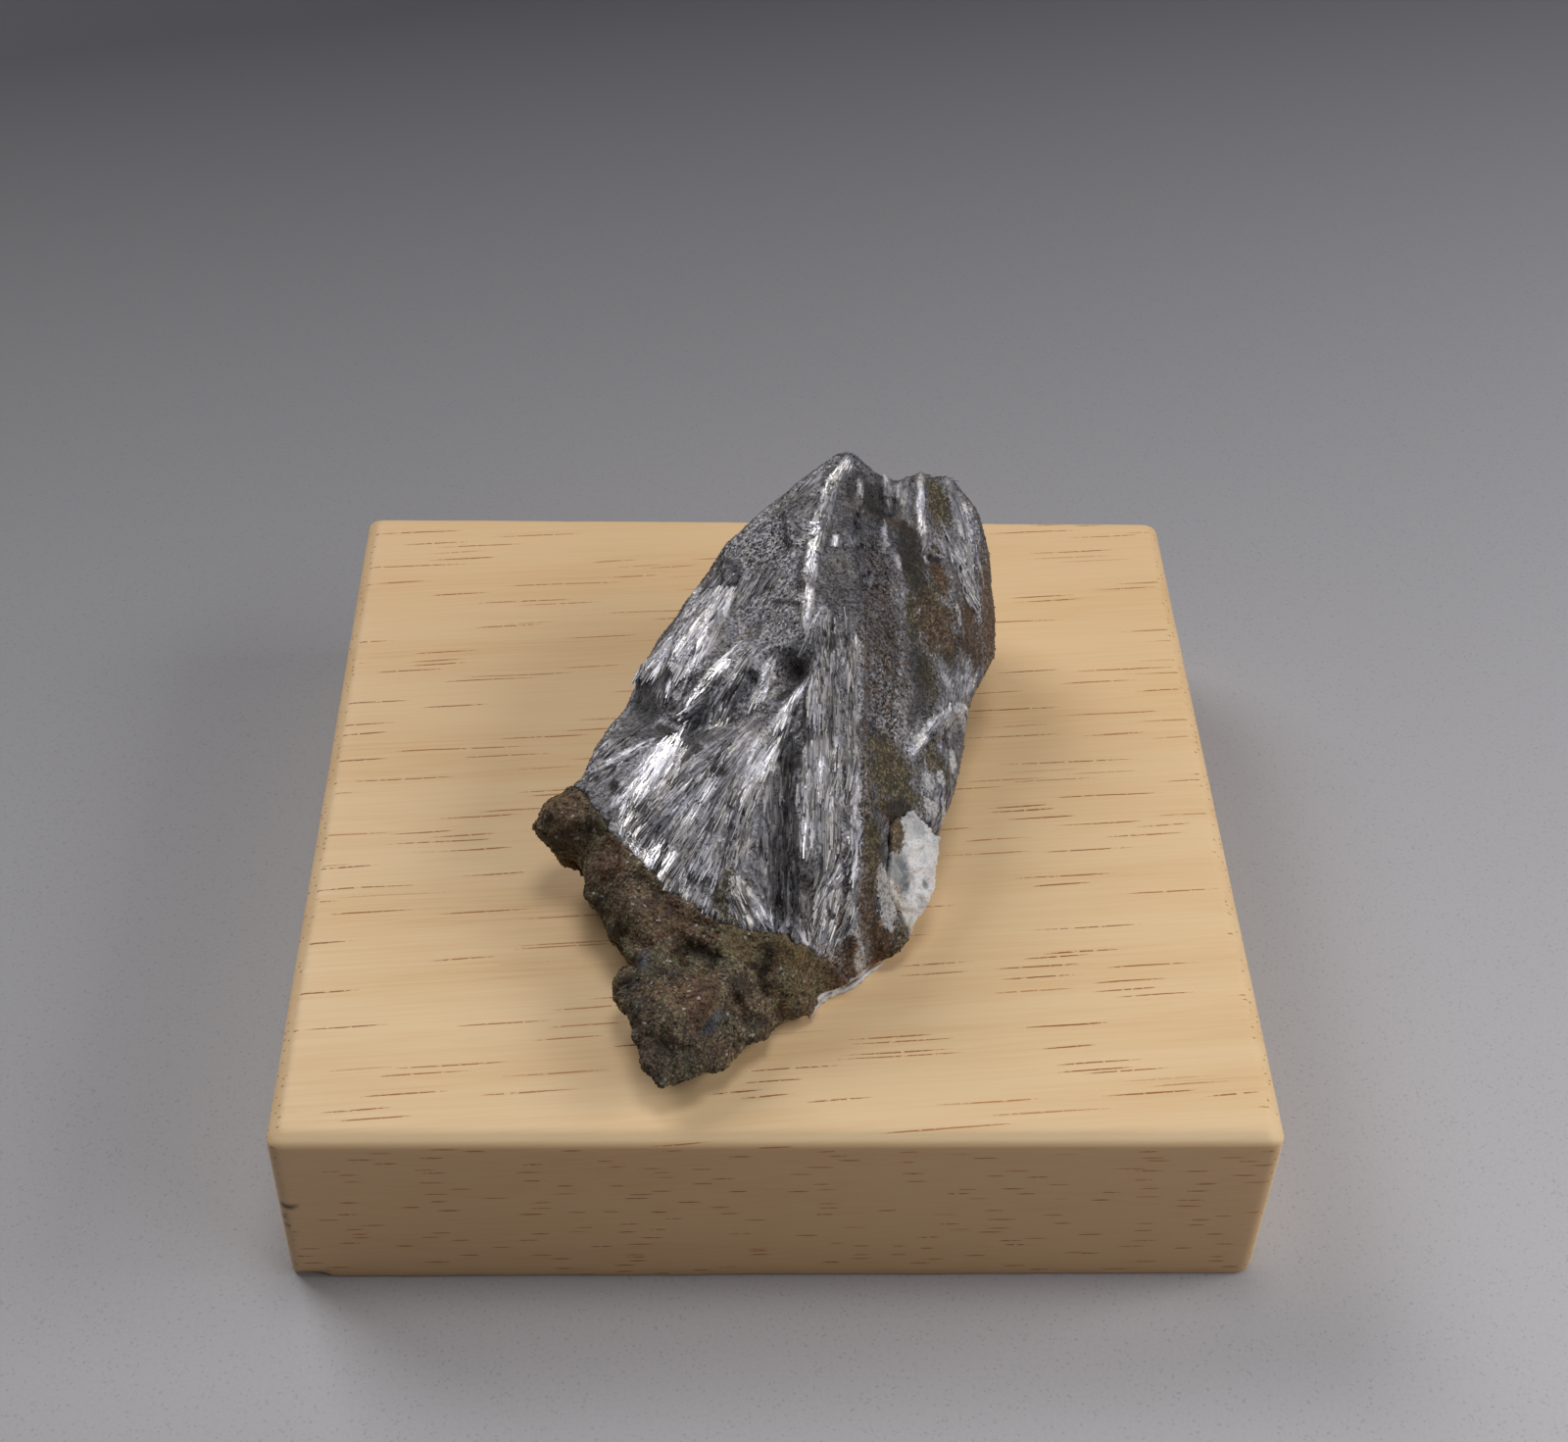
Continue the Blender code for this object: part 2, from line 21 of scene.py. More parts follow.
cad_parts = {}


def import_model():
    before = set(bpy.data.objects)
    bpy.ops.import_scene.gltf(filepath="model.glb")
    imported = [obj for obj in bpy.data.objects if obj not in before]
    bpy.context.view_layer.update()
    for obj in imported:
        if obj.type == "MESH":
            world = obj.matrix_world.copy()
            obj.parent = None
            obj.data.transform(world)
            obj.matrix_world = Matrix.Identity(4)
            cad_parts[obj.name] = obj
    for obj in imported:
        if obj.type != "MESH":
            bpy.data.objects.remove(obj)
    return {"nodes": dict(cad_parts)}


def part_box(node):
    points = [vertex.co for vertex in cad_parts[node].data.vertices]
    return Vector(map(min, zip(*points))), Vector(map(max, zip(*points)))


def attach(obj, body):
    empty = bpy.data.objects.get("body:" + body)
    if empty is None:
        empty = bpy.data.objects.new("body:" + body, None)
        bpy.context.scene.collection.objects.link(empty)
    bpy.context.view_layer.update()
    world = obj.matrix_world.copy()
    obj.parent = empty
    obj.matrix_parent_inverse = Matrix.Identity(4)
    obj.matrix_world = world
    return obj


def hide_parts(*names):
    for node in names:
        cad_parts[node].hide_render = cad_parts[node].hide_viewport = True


LOG = logging.getLogger("specimen")
MM = 0.001
LAY_STRETCH = 0.15  # how much a step along the fibres counts, against one across them
BODY = "root"
STONE = ("cosalite_crystals", "matrix_rock", "quartz_vein")
WOOD_TOP = 20.52  # just clear of the block's top face, which the stone rests on
Colour = tuple[float, float, float]


def srgb(red: float, green: float, blue: float) -> Colour:
    """A linear colour from the three numbers a paint chart gives, 0 to 255."""

    def linear(level: float) -> float:
        """One of the three, as the light it stands for."""
        level /= 255
        return level / 12.92 if level <= 0.04045 else ((level + 0.055) / 1.055) ** 2.4

    return linear(red), linear(green), linear(blue)


def smooth(low: float, high: float, values: np.ndarray) -> np.ndarray:
    """An S-shaped step from 0 at low to 1 at high; low may be the larger."""
    t = np.clip((values - low) / (high - low), 0.0, 1.0)
    return t * t * (3 - 2 * t)


def unit(vectors: np.ndarray, least: float = 1e-9) -> np.ndarray:
    """Rows of vectors brought to length 1."""
    return vectors / np.linalg.norm(vectors, axis=1)[:, None].clip(least)


def linked(name: str, data: Any) -> bpy.types.Object:
    """A new object of the scene, at the origin."""
    made = bpy.data.objects.new(name, data)
    bpy.context.scene.collection.objects.link(made)
    return made


def mesh_of(
    bm: bmesh.types.BMesh, name: str, finish: bpy.types.Material | None = None
) -> bpy.types.Mesh:
    """Ends a mesh in the making.

    Args:
        bm: the mesh in the making, which is freed.
        name: the mesh's name.
        finish: its material; a mesh that has one is shaded smooth.

    Returns:
        The mesh.
    """
    mesh = bpy.data.meshes.new(name)
    bm.to_mesh(mesh)
    bm.free()
    if finish is not None:
        mesh.polygons.foreach_set("use_smooth", [True] * len(mesh.polygons))
        mesh.materials.append(finish)
    return mesh


def close_tube(bm: bmesh.types.BMesh, rings: Sequence[Sequence[bmesh.types.BMVert]]) -> None:
    """Joins rings of as many points each, from below to above, and caps both ends."""
    for below, above in zip(rings, rings[1:]):
        for k in range(len(below)):
            n = (k + 1) % len(below)
            bm.faces.new((below[k], below[n], above[n], above[k]))
    bm.faces.new(rings[0][::-1])
    bm.faces.new(rings[-1])


# --------------------------------------------------------------------------
# Node trees written as expressions
# --------------------------------------------------------------------------


class Sock:
    """A node's output that takes part in plain arithmetic."""

    def __init__(self, graph: Graph, socket: bpy.types.NodeSocket) -> None:
        """Keeps the tree and the socket.

        Args:
            graph: the tree that new nodes go to.
            socket: the output that is read.
        """
        self.graph = graph
        self.socket = socket

    def other(self, name: str) -> Sock:
        """Another output of the same node."""
        return Sock(self.graph, self.socket.node.outputs[name])

    def _with(self, operation: str, other: Any, turned: bool = False) -> Sock:
        """One arithmetic node.

        Args:
            operation: ADD, SUBTRACT, MULTIPLY, MINIMUM or MAXIMUM.
            other: a number, a triple or a Sock.
            turned: whether other stands first.

        Returns:
            The result; a vector or colour where either side is one.
        """
        pair = (other, self) if turned else (self, other)
        kinds = {side.socket.type for side in pair if isinstance(side, Sock)}
        if any(isinstance(side, tuple) for side in pair):
            kinds.add("VECTOR")
        if kinds & {"RGBA"}:
            return self.graph.mix(pair[0], pair[1], 1.0, operation)
        if kinds & {"VECTOR", "ROTATION"}:
            widened = [(s,) * 3 if isinstance(s, (int, float)) else s for s in pair]
            sockets = dict(enumerate(widened))
            return self.graph.node("ShaderNodeVectorMath", {"operation": operation}, sockets)
        return self.graph.node("ShaderNodeMath", {"operation": operation}, dict(enumerate(pair)))

    def __add__(self, other: Any) -> Sock:
        """self + other."""
        return self._with("ADD", other)

    def __radd__(self, other: Any) -> Sock:
        """other + self."""
        return self._with("ADD", other, True)

    def __sub__(self, other: Any) -> Sock:
        """self - other."""
        return self._with("SUBTRACT", other)

    def __rsub__(self, other: Any) -> Sock:
        """other - self."""
        return self._with("SUBTRACT", other, True)

    def __mul__(self, other: Any) -> Sock:
        """self * other."""
        return self._with("MULTIPLY", other)

    def __rmul__(self, other: Any) -> Sock:
        """other * self."""
        return self._with("MULTIPLY", other, True)

    def least(self, other: Any) -> Sock:
        """The smaller of the two."""
        return self._with("MINIMUM", other)

    def most(self, other: Any) -> Sock:
        """The larger of the two."""
        return self._with("MAXIMUM", other)

    def held(self) -> Sock:
        """Kept between 0 and 1."""
        return self.most(0.0).least(1.0)

    def step(self, low: float, high: float, top: float = 1.0, bottom: float = 0.0) -> Sock:
        """An S-shaped step.

        Args:
            low: where it starts.
            high: where it ends; may be below low.
            top: the value past high.
            bottom: the value before low.

        Returns:
            The stepped value.
        """
        sockets = {0: self, 1: low, 2: high, 3: bottom, 4: top}
        settings = {"interpolation_type": "SMOOTHSTEP"}
        return self.graph.node("ShaderNodeMapRange", settings, sockets)


class Graph:
    """A node tree, of a material or of Geometry Nodes, that nodes are added to."""

    def __init__(self, tree: bpy.types.NodeTree) -> None:
        """Empties the tree.

        Args:
            tree: the tree to fill.
        """
        self.tree = tree
        tree.nodes.clear()

    def node(
        self,
        kind: str,
        settings: dict[str, Any] | None = None,
        sockets: dict[Any, Any] | None = None,
        output: Any = 0,
    ) -> Sock:
        """Adds any node.

        Args:
            kind: the node's type.
            settings: its options, set first.
            sockets: values or Socks by socket name or number.
            output: the name or number of the output that is returned.

        Returns:
            The chosen output, or a Sock on the first input of a node with none.
        """
        made = self.tree.nodes.new(kind)
        for name, value in (settings or {}).items():
            setattr(made, name, value)
        for name, value in (sockets or {}).items():
            self._plug(self._find(made.inputs, name), value)
        if not len(made.outputs):
            return Sock(self, made.inputs[0])
        return Sock(self, self._find(made.outputs, output))

    @staticmethod
    def _find(sockets: Any, name: Any) -> bpy.types.NodeSocket:
        """The socket of that number, or the first one of that name in use."""
        if isinstance(name, int):
            return [s for s in sockets if s.enabled or len(sockets) < 8][name]
        return next(s for s in sockets if s.name == name and s.enabled)

    def _plug(self, socket: bpy.types.NodeSocket, value: Any) -> None:
        """Links a Sock, or sets a plain value."""
        if isinstance(value, Sock):
            self.tree.links.new(value.socket, socket)
        elif socket.type == "RGBA":
            socket.default_value = (*value[:3], 1.0)
        else:
            socket.default_value = value

    def mix(self, first: Any, second: Any, share: Any, blend: str = "MIX") -> Sock:
        """Mixes two colours.

        Args:
            first: the colour at share 0.
            second: the colour at share 1, or what first is blended with.
            share: how much of second there is.
            blend: the blend type.

        Returns:
            The mixed colour.
        """
        settings = {"data_type": "RGBA", "blend_type": blend}
        sockets = {"Factor": share, "A": first, "B": second}
        return self.node("ShaderNodeMix", settings, sockets, "Result")

    def layered(self, ground: Any, *layers: tuple[Any, Any]) -> Sock:
        """Lays colours over one another.

        Args:
            ground: the lowest colour.
            *layers: pairs of a colour and how much of it there is, from below to above.

        Returns:
            The colour on top.
        """
        for colour, share in layers:
            ground = self.mix(ground, colour, share)
        return ground

    def noise(self, at: Sock, size: float, detail: float = 2.0, rough: float = 0.5) -> Sock:
        """Soft cloud noise, about 0.5.

        Args:
            at: coordinates in metres.
            size: the size of its largest lumps, in millimetres.
            detail: how many finer layers there are.
            rough: how strong the finer layers are.

        Returns:
            The noise as a number.
        """
        sockets = {"Vector": at, "Scale": 1 / (size * MM), "Detail": detail, "Roughness": rough}
        return self.node("ShaderNodeTexNoise", None, sockets, "Fac")

    def cells(self, at: Sock, size: float, feature: str = "F1", output: str = "Color") -> Sock:
        """A pattern of grains.

        Args:
            at: coordinates in metres.
            size: how wide a grain is, in millimetres.
            feature: F1 or DISTANCE_TO_EDGE.
            output: Color, which differs from grain to grain, or Distance.

        Returns:
            The chosen output.
        """
        sockets = {"Vector": at, "Scale": 1 / (size * MM)}
        return self.node("ShaderNodeTexVoronoi", {"feature": feature}, sockets, output)

    def swayed(self, at: Sock, size: float, reach: float) -> Sock:
        """Coordinates bent by soft noise.

        Args:
            at: coordinates in metres.
            size: the size of the bends, in millimetres.
            reach: how far they go, in millimetres.

        Returns:
            The bent coordinates.
        """
        sockets = {"Vector": at, "Scale": 1 / (size * MM)}
        cloud = self.node("ShaderNodeTexNoise", None, sockets, "Color")
        return at + self.centred(cloud) * (2 * reach * MM)

    def centred(self, colour: Sock) -> Sock:
        """A colour as a vector about the origin, each side from -0.5 to 0.5."""
        sockets = {0: colour, 1: (0.5, 0.5, 0.5)}
        return self.node("ShaderNodeVectorMath", {"operation": "SUBTRACT"}, sockets)

    def part(self, colour: Sock, channel: str = "Red") -> Sock:
        """One channel of a colour as a number."""
        return self.node("ShaderNodeSeparateColor", None, {0: colour}, channel)

    def attribute(self, name: str, output: str = "Fac") -> Sock:
        """What a piece carries under that name."""
        return self.node("ShaderNodeAttribute", {"attribute_name": name}, None, output)

    def attributes(self, *names: str) -> list[Sock]:
        """The numbers that a piece carries under those names."""
        return [self.attribute(name) for name in names]

    def bump(
        self, height: Sock, depth: float, strength: float = 1.0, under: Sock | None = None
    ) -> Sock:
        """A normal from a height.

        Args:
            height: the height, 0 to 1.
            depth: how deep 1 is, in millimetres.
            strength: how much of it shows.
            under: a normal that it is laid over.

        Returns:
            The normal.
        """
        sockets: dict[Any, Any] = {"Strength": strength, "Distance": depth * MM, "Height": height}
        if under is not None:
            sockets["Normal"] = under
        return self.node("ShaderNodeBump", None, sockets)


def material_graph(name: str) -> tuple[bpy.types.Material, Graph, Sock]:
    """A new material, its tree and the Object coordinates in it."""
    material = bpy.data.materials.new(name)
    material.use_nodes = True
    graph = Graph(material.node_tree)
    return material, graph, graph.node("ShaderNodeTexCoord", None, None, "Object")


def close_material(graph: Graph, sockets: dict[Any, Any]) -> None:
    """Ends a material in one Principled shader.

    Args:
        graph: the material's tree.
        sockets: values or Socks of the shader.
    """
    shader = graph.node("ShaderNodeBsdfPrincipled", None, sockets)
    graph.node("ShaderNodeOutputMaterial", None, {"Surface": shader})


# --------------------------------------------------------------------------
# Finishes
# --------------------------------------------------------------------------


@dataclass(frozen=True)
class CrystalFinish:
    """Lead-grey metallic cosalite: cleavage slivers lightened by a painted highlight, dull felt,
    granular crusts and painted shade in seams and hollows.
    """

    name: str = "cosalite_metal"
    dark: Colour = srgb(40, 37, 39)
    bright: Colour = srgb(243, 239, 242)
    cool: Colour = srgb(214, 216, 236)
    warm: Colour = srgb(236, 226, 206)
    rust: Colour = srgb(82, 60, 44)
    rust_light: Colour = srgb(144, 113, 84)
    olive: Colour = srgb(66, 62, 44)
    # the colour of painted shade, and of the crusts' dark specks
    gloom: Colour = srgb(34, 30, 28)
    tan: Colour = srgb(146, 126, 94)
    milk: Colour = srgb(206, 204, 205)
    milk_grey: Colour = srgb(146, 142, 138)
    sliver: float = 0.15
    blade: float = 0.8
    grain: float = 0.2
    groove: float = 0.16
    groove_depth: float = 0.045
    sliver_lean: float = 0.62
    blade_lean: float = 0.2
    own_way: float = 0.6

    def material(self) -> bpy.types.Material:
        """Builds the material from the attributes that the crystal pieces carry.

        Returns:
            The material. It reads shine, shade, fibrous, rust, olive, gloom and milk,
            the vector lay (place along, across and down the fibres) and the vector facing.
        """
        made, g, at = material_graph(self.name)
        lay, facing = g.attribute("lay", "Vector"), g.attribute("facing", "Vector")
        shine, shade, fibrous = g.attributes("shine", "shade", "fibrous")
        rust, olive, gloom, milk = g.attributes("rust", "olive", "gloom", "milk")
        fine, broad = g.noise(at, 0.35, 3.0, 0.65), g.noise(at, 2.2, 2.0)
        sliver = g.cells(g.swayed(lay, 0.9, 0.1), self.sliver)
        blade, grain = g.cells(lay, self.blade), g.cells(at, self.grain)
        mosaic = g.mix(grain, sliver, fibrous)
        pick, chance = g.part(mosaic, "Red"), g.part(grain, "Blue")
        gap = g.cells(lay, self.blade, "DISTANCE_TO_EDGE", "Distance").step(0.07, 0.0) * fibrous
        contrast = shine * 0.42 + 0.32 + (1 - fibrous) * 0.1
        # the shine lightens the base colour: a painted highlight on the bright sheaves, besides
        # their real metal shine
        tone = shine * 0.9 + (pick - 0.5) * contrast
        tone = tone + (g.part(blade, "Green") - 0.5) * 0.14 * fibrous
        tone = tone + (shade - 0.5) * 0.16 + (broad - 0.5) * 0.12 + (fine - 0.5) * 0.2 + 0.07
        tint = g.part(grain, "Green") * 0.5 + g.part(blade, "Blue") * 0.3 + broad * 0.6
        bright = g.layered(
            self.bright,
            (self.cool, tint.step(0.72, 1.05) * 0.8),
            (self.warm, tint.step(0.62, 0.35) * 0.7),
        )
        crust = (fine - 0.5) * 1.1 - chance * 0.7
        dust, moss = ((stain * 1.2 + crust).step(0.0, 0.5) for stain in (rust, olive))
        mottle = g.noise(at, 0.6, 3.0, 0.7) + (g.part(grain, "Green") - 0.5) * 0.5
        pepper = dust.most(moss) * (g.part(grain, "Red") * 0.6 + fine).step(0.7, 0.46)
        white = (milk * 1.5 + crust * 0.8).step(0.15, 0.45)
        colour = g.layered(
            self.dark,
            # the light end of this metal ramp is a painted highlight
            (bright, (tone * (1 - gap * 0.5)).held()),
            (g.mix(self.rust, self.rust_light, mottle.step(0.45, 0.85)), dust * 0.96),
            (g.mix(self.olive, self.tan, mottle.step(0.46, 0.82)), moss * 0.95),
            # painted shade in hollows and creases, and dark specks in the crusts
            (self.gloom, (gloom * (0.65 + shade * 0.4)).most(pepper * 0.75).held()),
            (g.mix(self.milk, self.milk_grey, mottle.step(0.42, 0.75)), white),
        )
        dull = dust.most(moss).most(gloom * 0.7).most(white)
        turn = g.centred(mosaic) * self.sliver_lean + g.centred(blade) * self.blade_lean
        calm = g.node("ShaderNodeCombineXYZ", None, {k: 1 - shine * 0.5 for k in "XYZ"})
        surface = g.node("ShaderNodeNewGeometry", None, None, "Normal")
        lean = surface * self.own_way + facing + turn * calm
        facet = g.node("ShaderNodeVectorMath", {"operation": "NORMALIZE"}, {0: lean})
        grooves = g.noise(lay, self.groove, 2.0, 0.6) * fibrous
        crumbs = g.noise(at, 0.22, 3.0, 0.7) * (dull * 1.2 + (1 - fibrous) * 0.8 + 0.15)
        height = grooves * (1 - dull * 0.8) + crumbs - gap * 0.5
        sockets = {
            "Base Color": colour,
            "Metallic": ((0.8 - shine * 0.25) * (1 - dull * 0.95)).held(),
            "Roughness": (0.54 - shine * 0.2 + dull * 0.25 + (fine - 0.5) * 0.2).held(),
            "Normal": g.bump(height, self.groove_depth, 0.8, facet),
        }
        close_material(g, sockets)
        return made


@dataclass(frozen=True)
class RockFinish:
    """Granular matrix: brown and olive crusts over dark sulphide, a few clear glints, painted shade
    in hollows, creases and on shadowed sides.
    """

    name: str = "matrix_granular"
    dark: Colour = srgb(46, 39, 33)
    # the colour of painted shade in hollows, creases and on the shadowed sides
    gloom: Colour = srgb(30, 25, 22)
    brown: Colour = srgb(112, 89, 68)
    olive: Colour = srgb(99, 94, 68)
    tan: Colour = srgb(172, 154, 124)
    rust: Colour = srgb(116, 74, 52)
    ochre: Colour = srgb(126, 104, 66)
    slate: Colour = srgb(84, 88, 98)
    glint: Colour = srgb(190, 188, 180)
    grain: float = 0.3
    fleck: float = 0.16

    def material(self) -> bpy.types.Material:
        """Builds the material. It reads the attributes rust, ochre, slate and gloom."""
        made, g, at = material_graph(self.name)
        bent = g.swayed(at, 0.6, 0.2)
        cell, fleck = g.cells(bent, self.grain), g.cells(at, self.fleck)
        pick, tint = g.part(cell, "Red"), g.part(cell, "Green")
        broad, middle = g.noise(at, 4.5, 3.0, 0.6), g.noise(at, 0.9, 3.0, 0.65)
        fine, patchy = g.noise(at, 0.28, 2.0, 0.6), g.noise(at, 2.1, 2.0, 0.5)
        rust, ochre, slate, gloom = g.attributes("rust", "ochre", "slate", "gloom")
        speck = g.part(g.cells(at, 0.42), "Blue").step(0.86, 0.95)
        spark = g.part(g.cells(at, 0.26), "Red").step(0.985, 0.992)
        uneven = middle + (tint - 0.5) * 0.6
        mossy = broad + (middle - 0.5) * 0.9 + (pick - 0.5) * 0.2
        colour = g.layered(
            self.brown,
            (self.olive, mossy.step(0.42, 0.62)),
            (self.dark, (pick * 0.6 + middle).step(0.85, 0.45) * 0.8),
            (self.tan, (tint * 0.5 + fine).step(0.85, 1.2) * 0.8),
            (self.dark, (g.part(fleck, "Red") * 0.6 + fine).step(0.64, 0.4) * 0.5),
            (self.tan, (g.part(fleck, "Green") * 0.55 + fine).step(0.88, 1.04) * 0.6),
            (self.dark, (patchy + (middle - 0.5) * 0.6).step(0.5, 0.28) * 0.75),
            (self.rust, (rust * (uneven + 0.15) + speck * 0.4).held()),
            (self.ochre, (ochre * (uneven + 0.2)).held()),
            (self.slate, (slate * (0.5 + middle * 0.7)).held()),
            (self.glint, spark * 0.7),
            # painted shade in hollows, creases and on the shadowed sides
            (self.gloom, gloom * 0.85),
        )
        height = g.cells(bent, self.grain, "F1", "Distance") * -0.7 + middle * 0.5 + fine * 0.6
        sockets = {
            "Base Color": colour,
            "Metallic": (slate * 0.35).held(),
            "Roughness": (0.74 - spark * 0.35 - slate * 0.25 + (middle - 0.5) * 0.3).held(),
            "Normal": g.bump(height, 0.12, 0.8),
        }
        close_material(g, sockets)
        return made


@dataclass(frozen=True)
class QuartzFinish:
    """Milky vein quartz, white to grey, stained warm and crusted brown at its edges."""

    name: str = "quartz_milky"
    white: Colour = srgb(244, 242, 242)
    grey: Colour = srgb(126, 131, 136)
    warm: Colour = srgb(196, 186, 164)
    stain: Colour = srgb(118, 88, 52)
    red: Colour = srgb(134, 96, 70)
    crust: Colour = srgb(92, 80, 60)
    shadow: Colour = srgb(44, 38, 30)

    def material(self) -> bpy.types.Material:
        """Builds the material. It reads the attributes grey, warm, red, stain and crust."""
        made, g, at = material_graph(self.name)
        cloud, fine = g.noise(at, 1.5, 4.0, 0.6), g.noise(at, 0.35, 3.0, 0.65)
        chip = g.cells(g.swayed(at, 1.2, 0.5), 1.5)
        grey, warm, red, stain, crust = g.attributes("grey", "warm", "red", "stain", "crust")
        shift = (cloud - 0.5) * 1.5 + (g.part(chip, "Red") - 0.5) * 0.6
        vein = g.noise(g.swayed(at, 1.2, 0.8), 1.1, 3.0, 0.6) - 0.5
        seam = (vein * vein).step(0.0016, 0.0) * (stain * 0.9 + 0.12)
        chance = g.part(g.cells(at, 0.3), "Blue")
        grit = (fine - 0.5) * 1.2 - chance * 0.6
        shell = (crust * 1.4 + grit).step(0.0, 0.4)
        scab = g.layered(
            self.crust,
            (self.stain, (cloud + (chance - 0.5) * 0.8).step(0.4, 0.7)),
            (self.warm, (chance * 0.5 + fine).step(0.86, 1.05) * 0.6),
            (self.shadow, (fine + (chance - 0.5) * 0.3).step(0.46, 0.3) * 0.8),
        )
        sugar = g.part(g.cells(at, 0.15), "Red")
        colour = g.layered(
            self.white,
            (self.grey, (grey * 1.1 + shift * 0.8 + 0.08).held()),
            (self.warm, (warm * (0.8 + shift)).held()),
            (self.stain, (seam + stain * fine.step(0.42, 0.62) * 0.9).held()),
            (self.red, (red * 1.4 + grit * 0.6).held()),
            (scab, shell),
            (self.grey, (sugar * 0.6 + fine).step(0.72, 0.4) * 0.5),
        )
        rough = (red + shell + 0.4).least(1.0)
        height = cloud * 0.6 + g.part(chip, "Green") * 0.5 + fine * rough + sugar * 0.12
        sockets = {
            "Base Color": colour,
            "Roughness": (0.38 + red.most(shell) * 0.4 + (fine - 0.5) * 0.3).held(),
            "Normal": g.bump(height, 0.16, 0.7),
            "Subsurface Weight": 0.2,
            "Subsurface Radius": (1.0, 0.9, 0.8),
            "Subsurface Scale": 0.0006,
        }
        close_material(g, sockets)
        return made


@dataclass(frozen=True)
class PineFinish:
    """Planed, unvarnished pine: grain nearly along X, cut by fine brown resin canals.

    The canals are thin tubes that lean a little against the faces, so the top shows
    them as long streaks and the front as short dashes.
    """

    name: str = "pine_planed"
    pale: Colour = srgb(248, 214, 167)
    warm: Colour = srgb(238, 198, 146)
    late: Colour = srgb(220, 176, 124)
    shaded: Colour = srgb(196, 148, 98)
    arris_highlight: Colour = srgb(255, 226, 182)
    streak: Colour = srgb(204, 132, 70)
    deep: Colour = srgb(138, 70, 34)
    mark: Colour = srgb(44, 32, 28)
    slew: float = 0.085
    dive: float = 0.022
    canal_pitch: float = 0.74
    canal_radius: float = 0.085

    def material(self) -> bpy.types.Material:
        """Builds the material. It reads Object coordinates and the attribute bruise."""
        made, g, at = material_graph(self.name)
        spread = g.node("ShaderNodeSeparateXYZ", None, {0: at}, "X")
        sway = (g.noise(at * (0.12, 1.0, 1.0), 3.0, 2.0) - 0.5) * 0.0009
        across = spread.other("Y") - spread * self.slew + sway
        height = spread.other("Z") - spread * self.dive + sway * 0.5
        run = g.node("ShaderNodeCombineXYZ", None, {"X": spread * 0.02, "Y": across, "Z": height})
        fibre = g.noise(run, 0.35, 3.0, 0.6)
        band = g.noise(run * (3.0, 0.6, 0.6), 3.2, 2.0, 0.5)
        canals, strong = self._canals(g, at, across, height)
        back, up = spread.other("Y"), spread.other("Z")
        brink = back.step(-0.0422, -0.043) * up.step(0.0194, 0.0202)
        colour = g.layered(
            self.pale,
            (self.warm, (band.step(0.3, 0.75) * 0.7 + (fibre - 0.5) * 1.5).held()),
            (self.late, (band.step(0.55, 0.8) * fibre.step(0.45, 0.75) * 0.5).held()),
            # the top grows darker towards the back
            (self.late, back.step(-0.03, 0.04) * 0.3),
            # painted shade on the front face
            (self.shaded, back.step(-0.0428, -0.0434) * 0.5),
            # painted highlight along the front top edge
            (self.arris_highlight, brink * 0.7),
            (self.streak, (canals * 0.9).held()),
            (self.deep, (canals * strong * 0.75).held()),
            (self.mark, g.attribute("bruise")),
        )
        relief = fibre * 0.5 + g.noise(at * (0.25, 1.0, 1.0), 0.25, 2.0) * 0.3 - canals * 0.9
        sockets = {
            "Base Color": colour,
            "Roughness": (0.55 + (fibre - 0.5) * 0.3).held(),
            "Normal": g.bump(relief, 0.045, 0.6),
        }
        close_material(g, sockets)
        return made

    def _canals(self, g: Graph, at: Sock, across: Sock, height: Sock) -> tuple[Sock, Sock]:
        """The resin canals.

        Args:
            g: the tree.
            at: coordinates in metres.
            across: the place across the grain.
            height: the place up the grain.

        Returns:
            1 in a canal and 0 elsewhere, and how strongly coloured each one is.
        """
        plane = g.node("ShaderNodeCombineXYZ", None, {"X": across, "Y": height})
        settings = {"feature": "F1", "voronoi_dimensions": "2D"}
        sockets = {"Vector": plane, "Scale": 1 / (self.canal_pitch * MM)}
        near = g.node("ShaderNodeTexVoronoi", settings, sockets, "Distance")
        chance = g.part(near.other("Color"), "Red")
        strong = g.part(near.other("Color"), "Green")
        ragged = g.noise(at * (0.5, 1.0, 1.0), 0.3, 2.0, 0.6)
        wide = self.canal_radius / self.canal_pitch
        tube = (near + (ragged - 0.5) * 0.12).step(wide * 1.15, wide * 0.7)
        return tube * chance.step(0.18, 0.42) * ragged.step(0.34, 0.46), strong


@dataclass(frozen=True)
class FloorFinish:
    """A pale grey worktop with a fine speckle and a painted shade that darkens it towards the back
    and the left.
    """

    name: str = "floor_grey"
    near: Colour = srgb(214, 212, 216)
    far: Colour = srgb(76, 75, 80)
    speck: Colour = srgb(96, 96, 103)

    def material(self) -> bpy.types.Material:
        """Builds the material from Object coordinates."""
        made, g, at = material_graph(self.name)
        across = g.node("ShaderNodeSeparateXYZ", None, {0: at}, "X")
        # painted shade: the colour darkens from near to far towards the back and, more weakly, the
        # left
        depth = across.other("Y") - across * 0.3
        colour = g.mix(self.near, self.far, (depth * 2.7 + 0.4).held())
        dots = g.part(g.cells(at, 0.2), "Red").step(0.94, 0.98) * 0.22
        colour = g.mix(colour, self.speck, (dots + (g.noise(at, 0.4, 2.0) - 0.42) * 0.25).held())
        close_material(g, {"Base Color": colour, "Roughness": 0.7})
        return made


# --------------------------------------------------------------------------
# Relief
# --------------------------------------------------------------------------


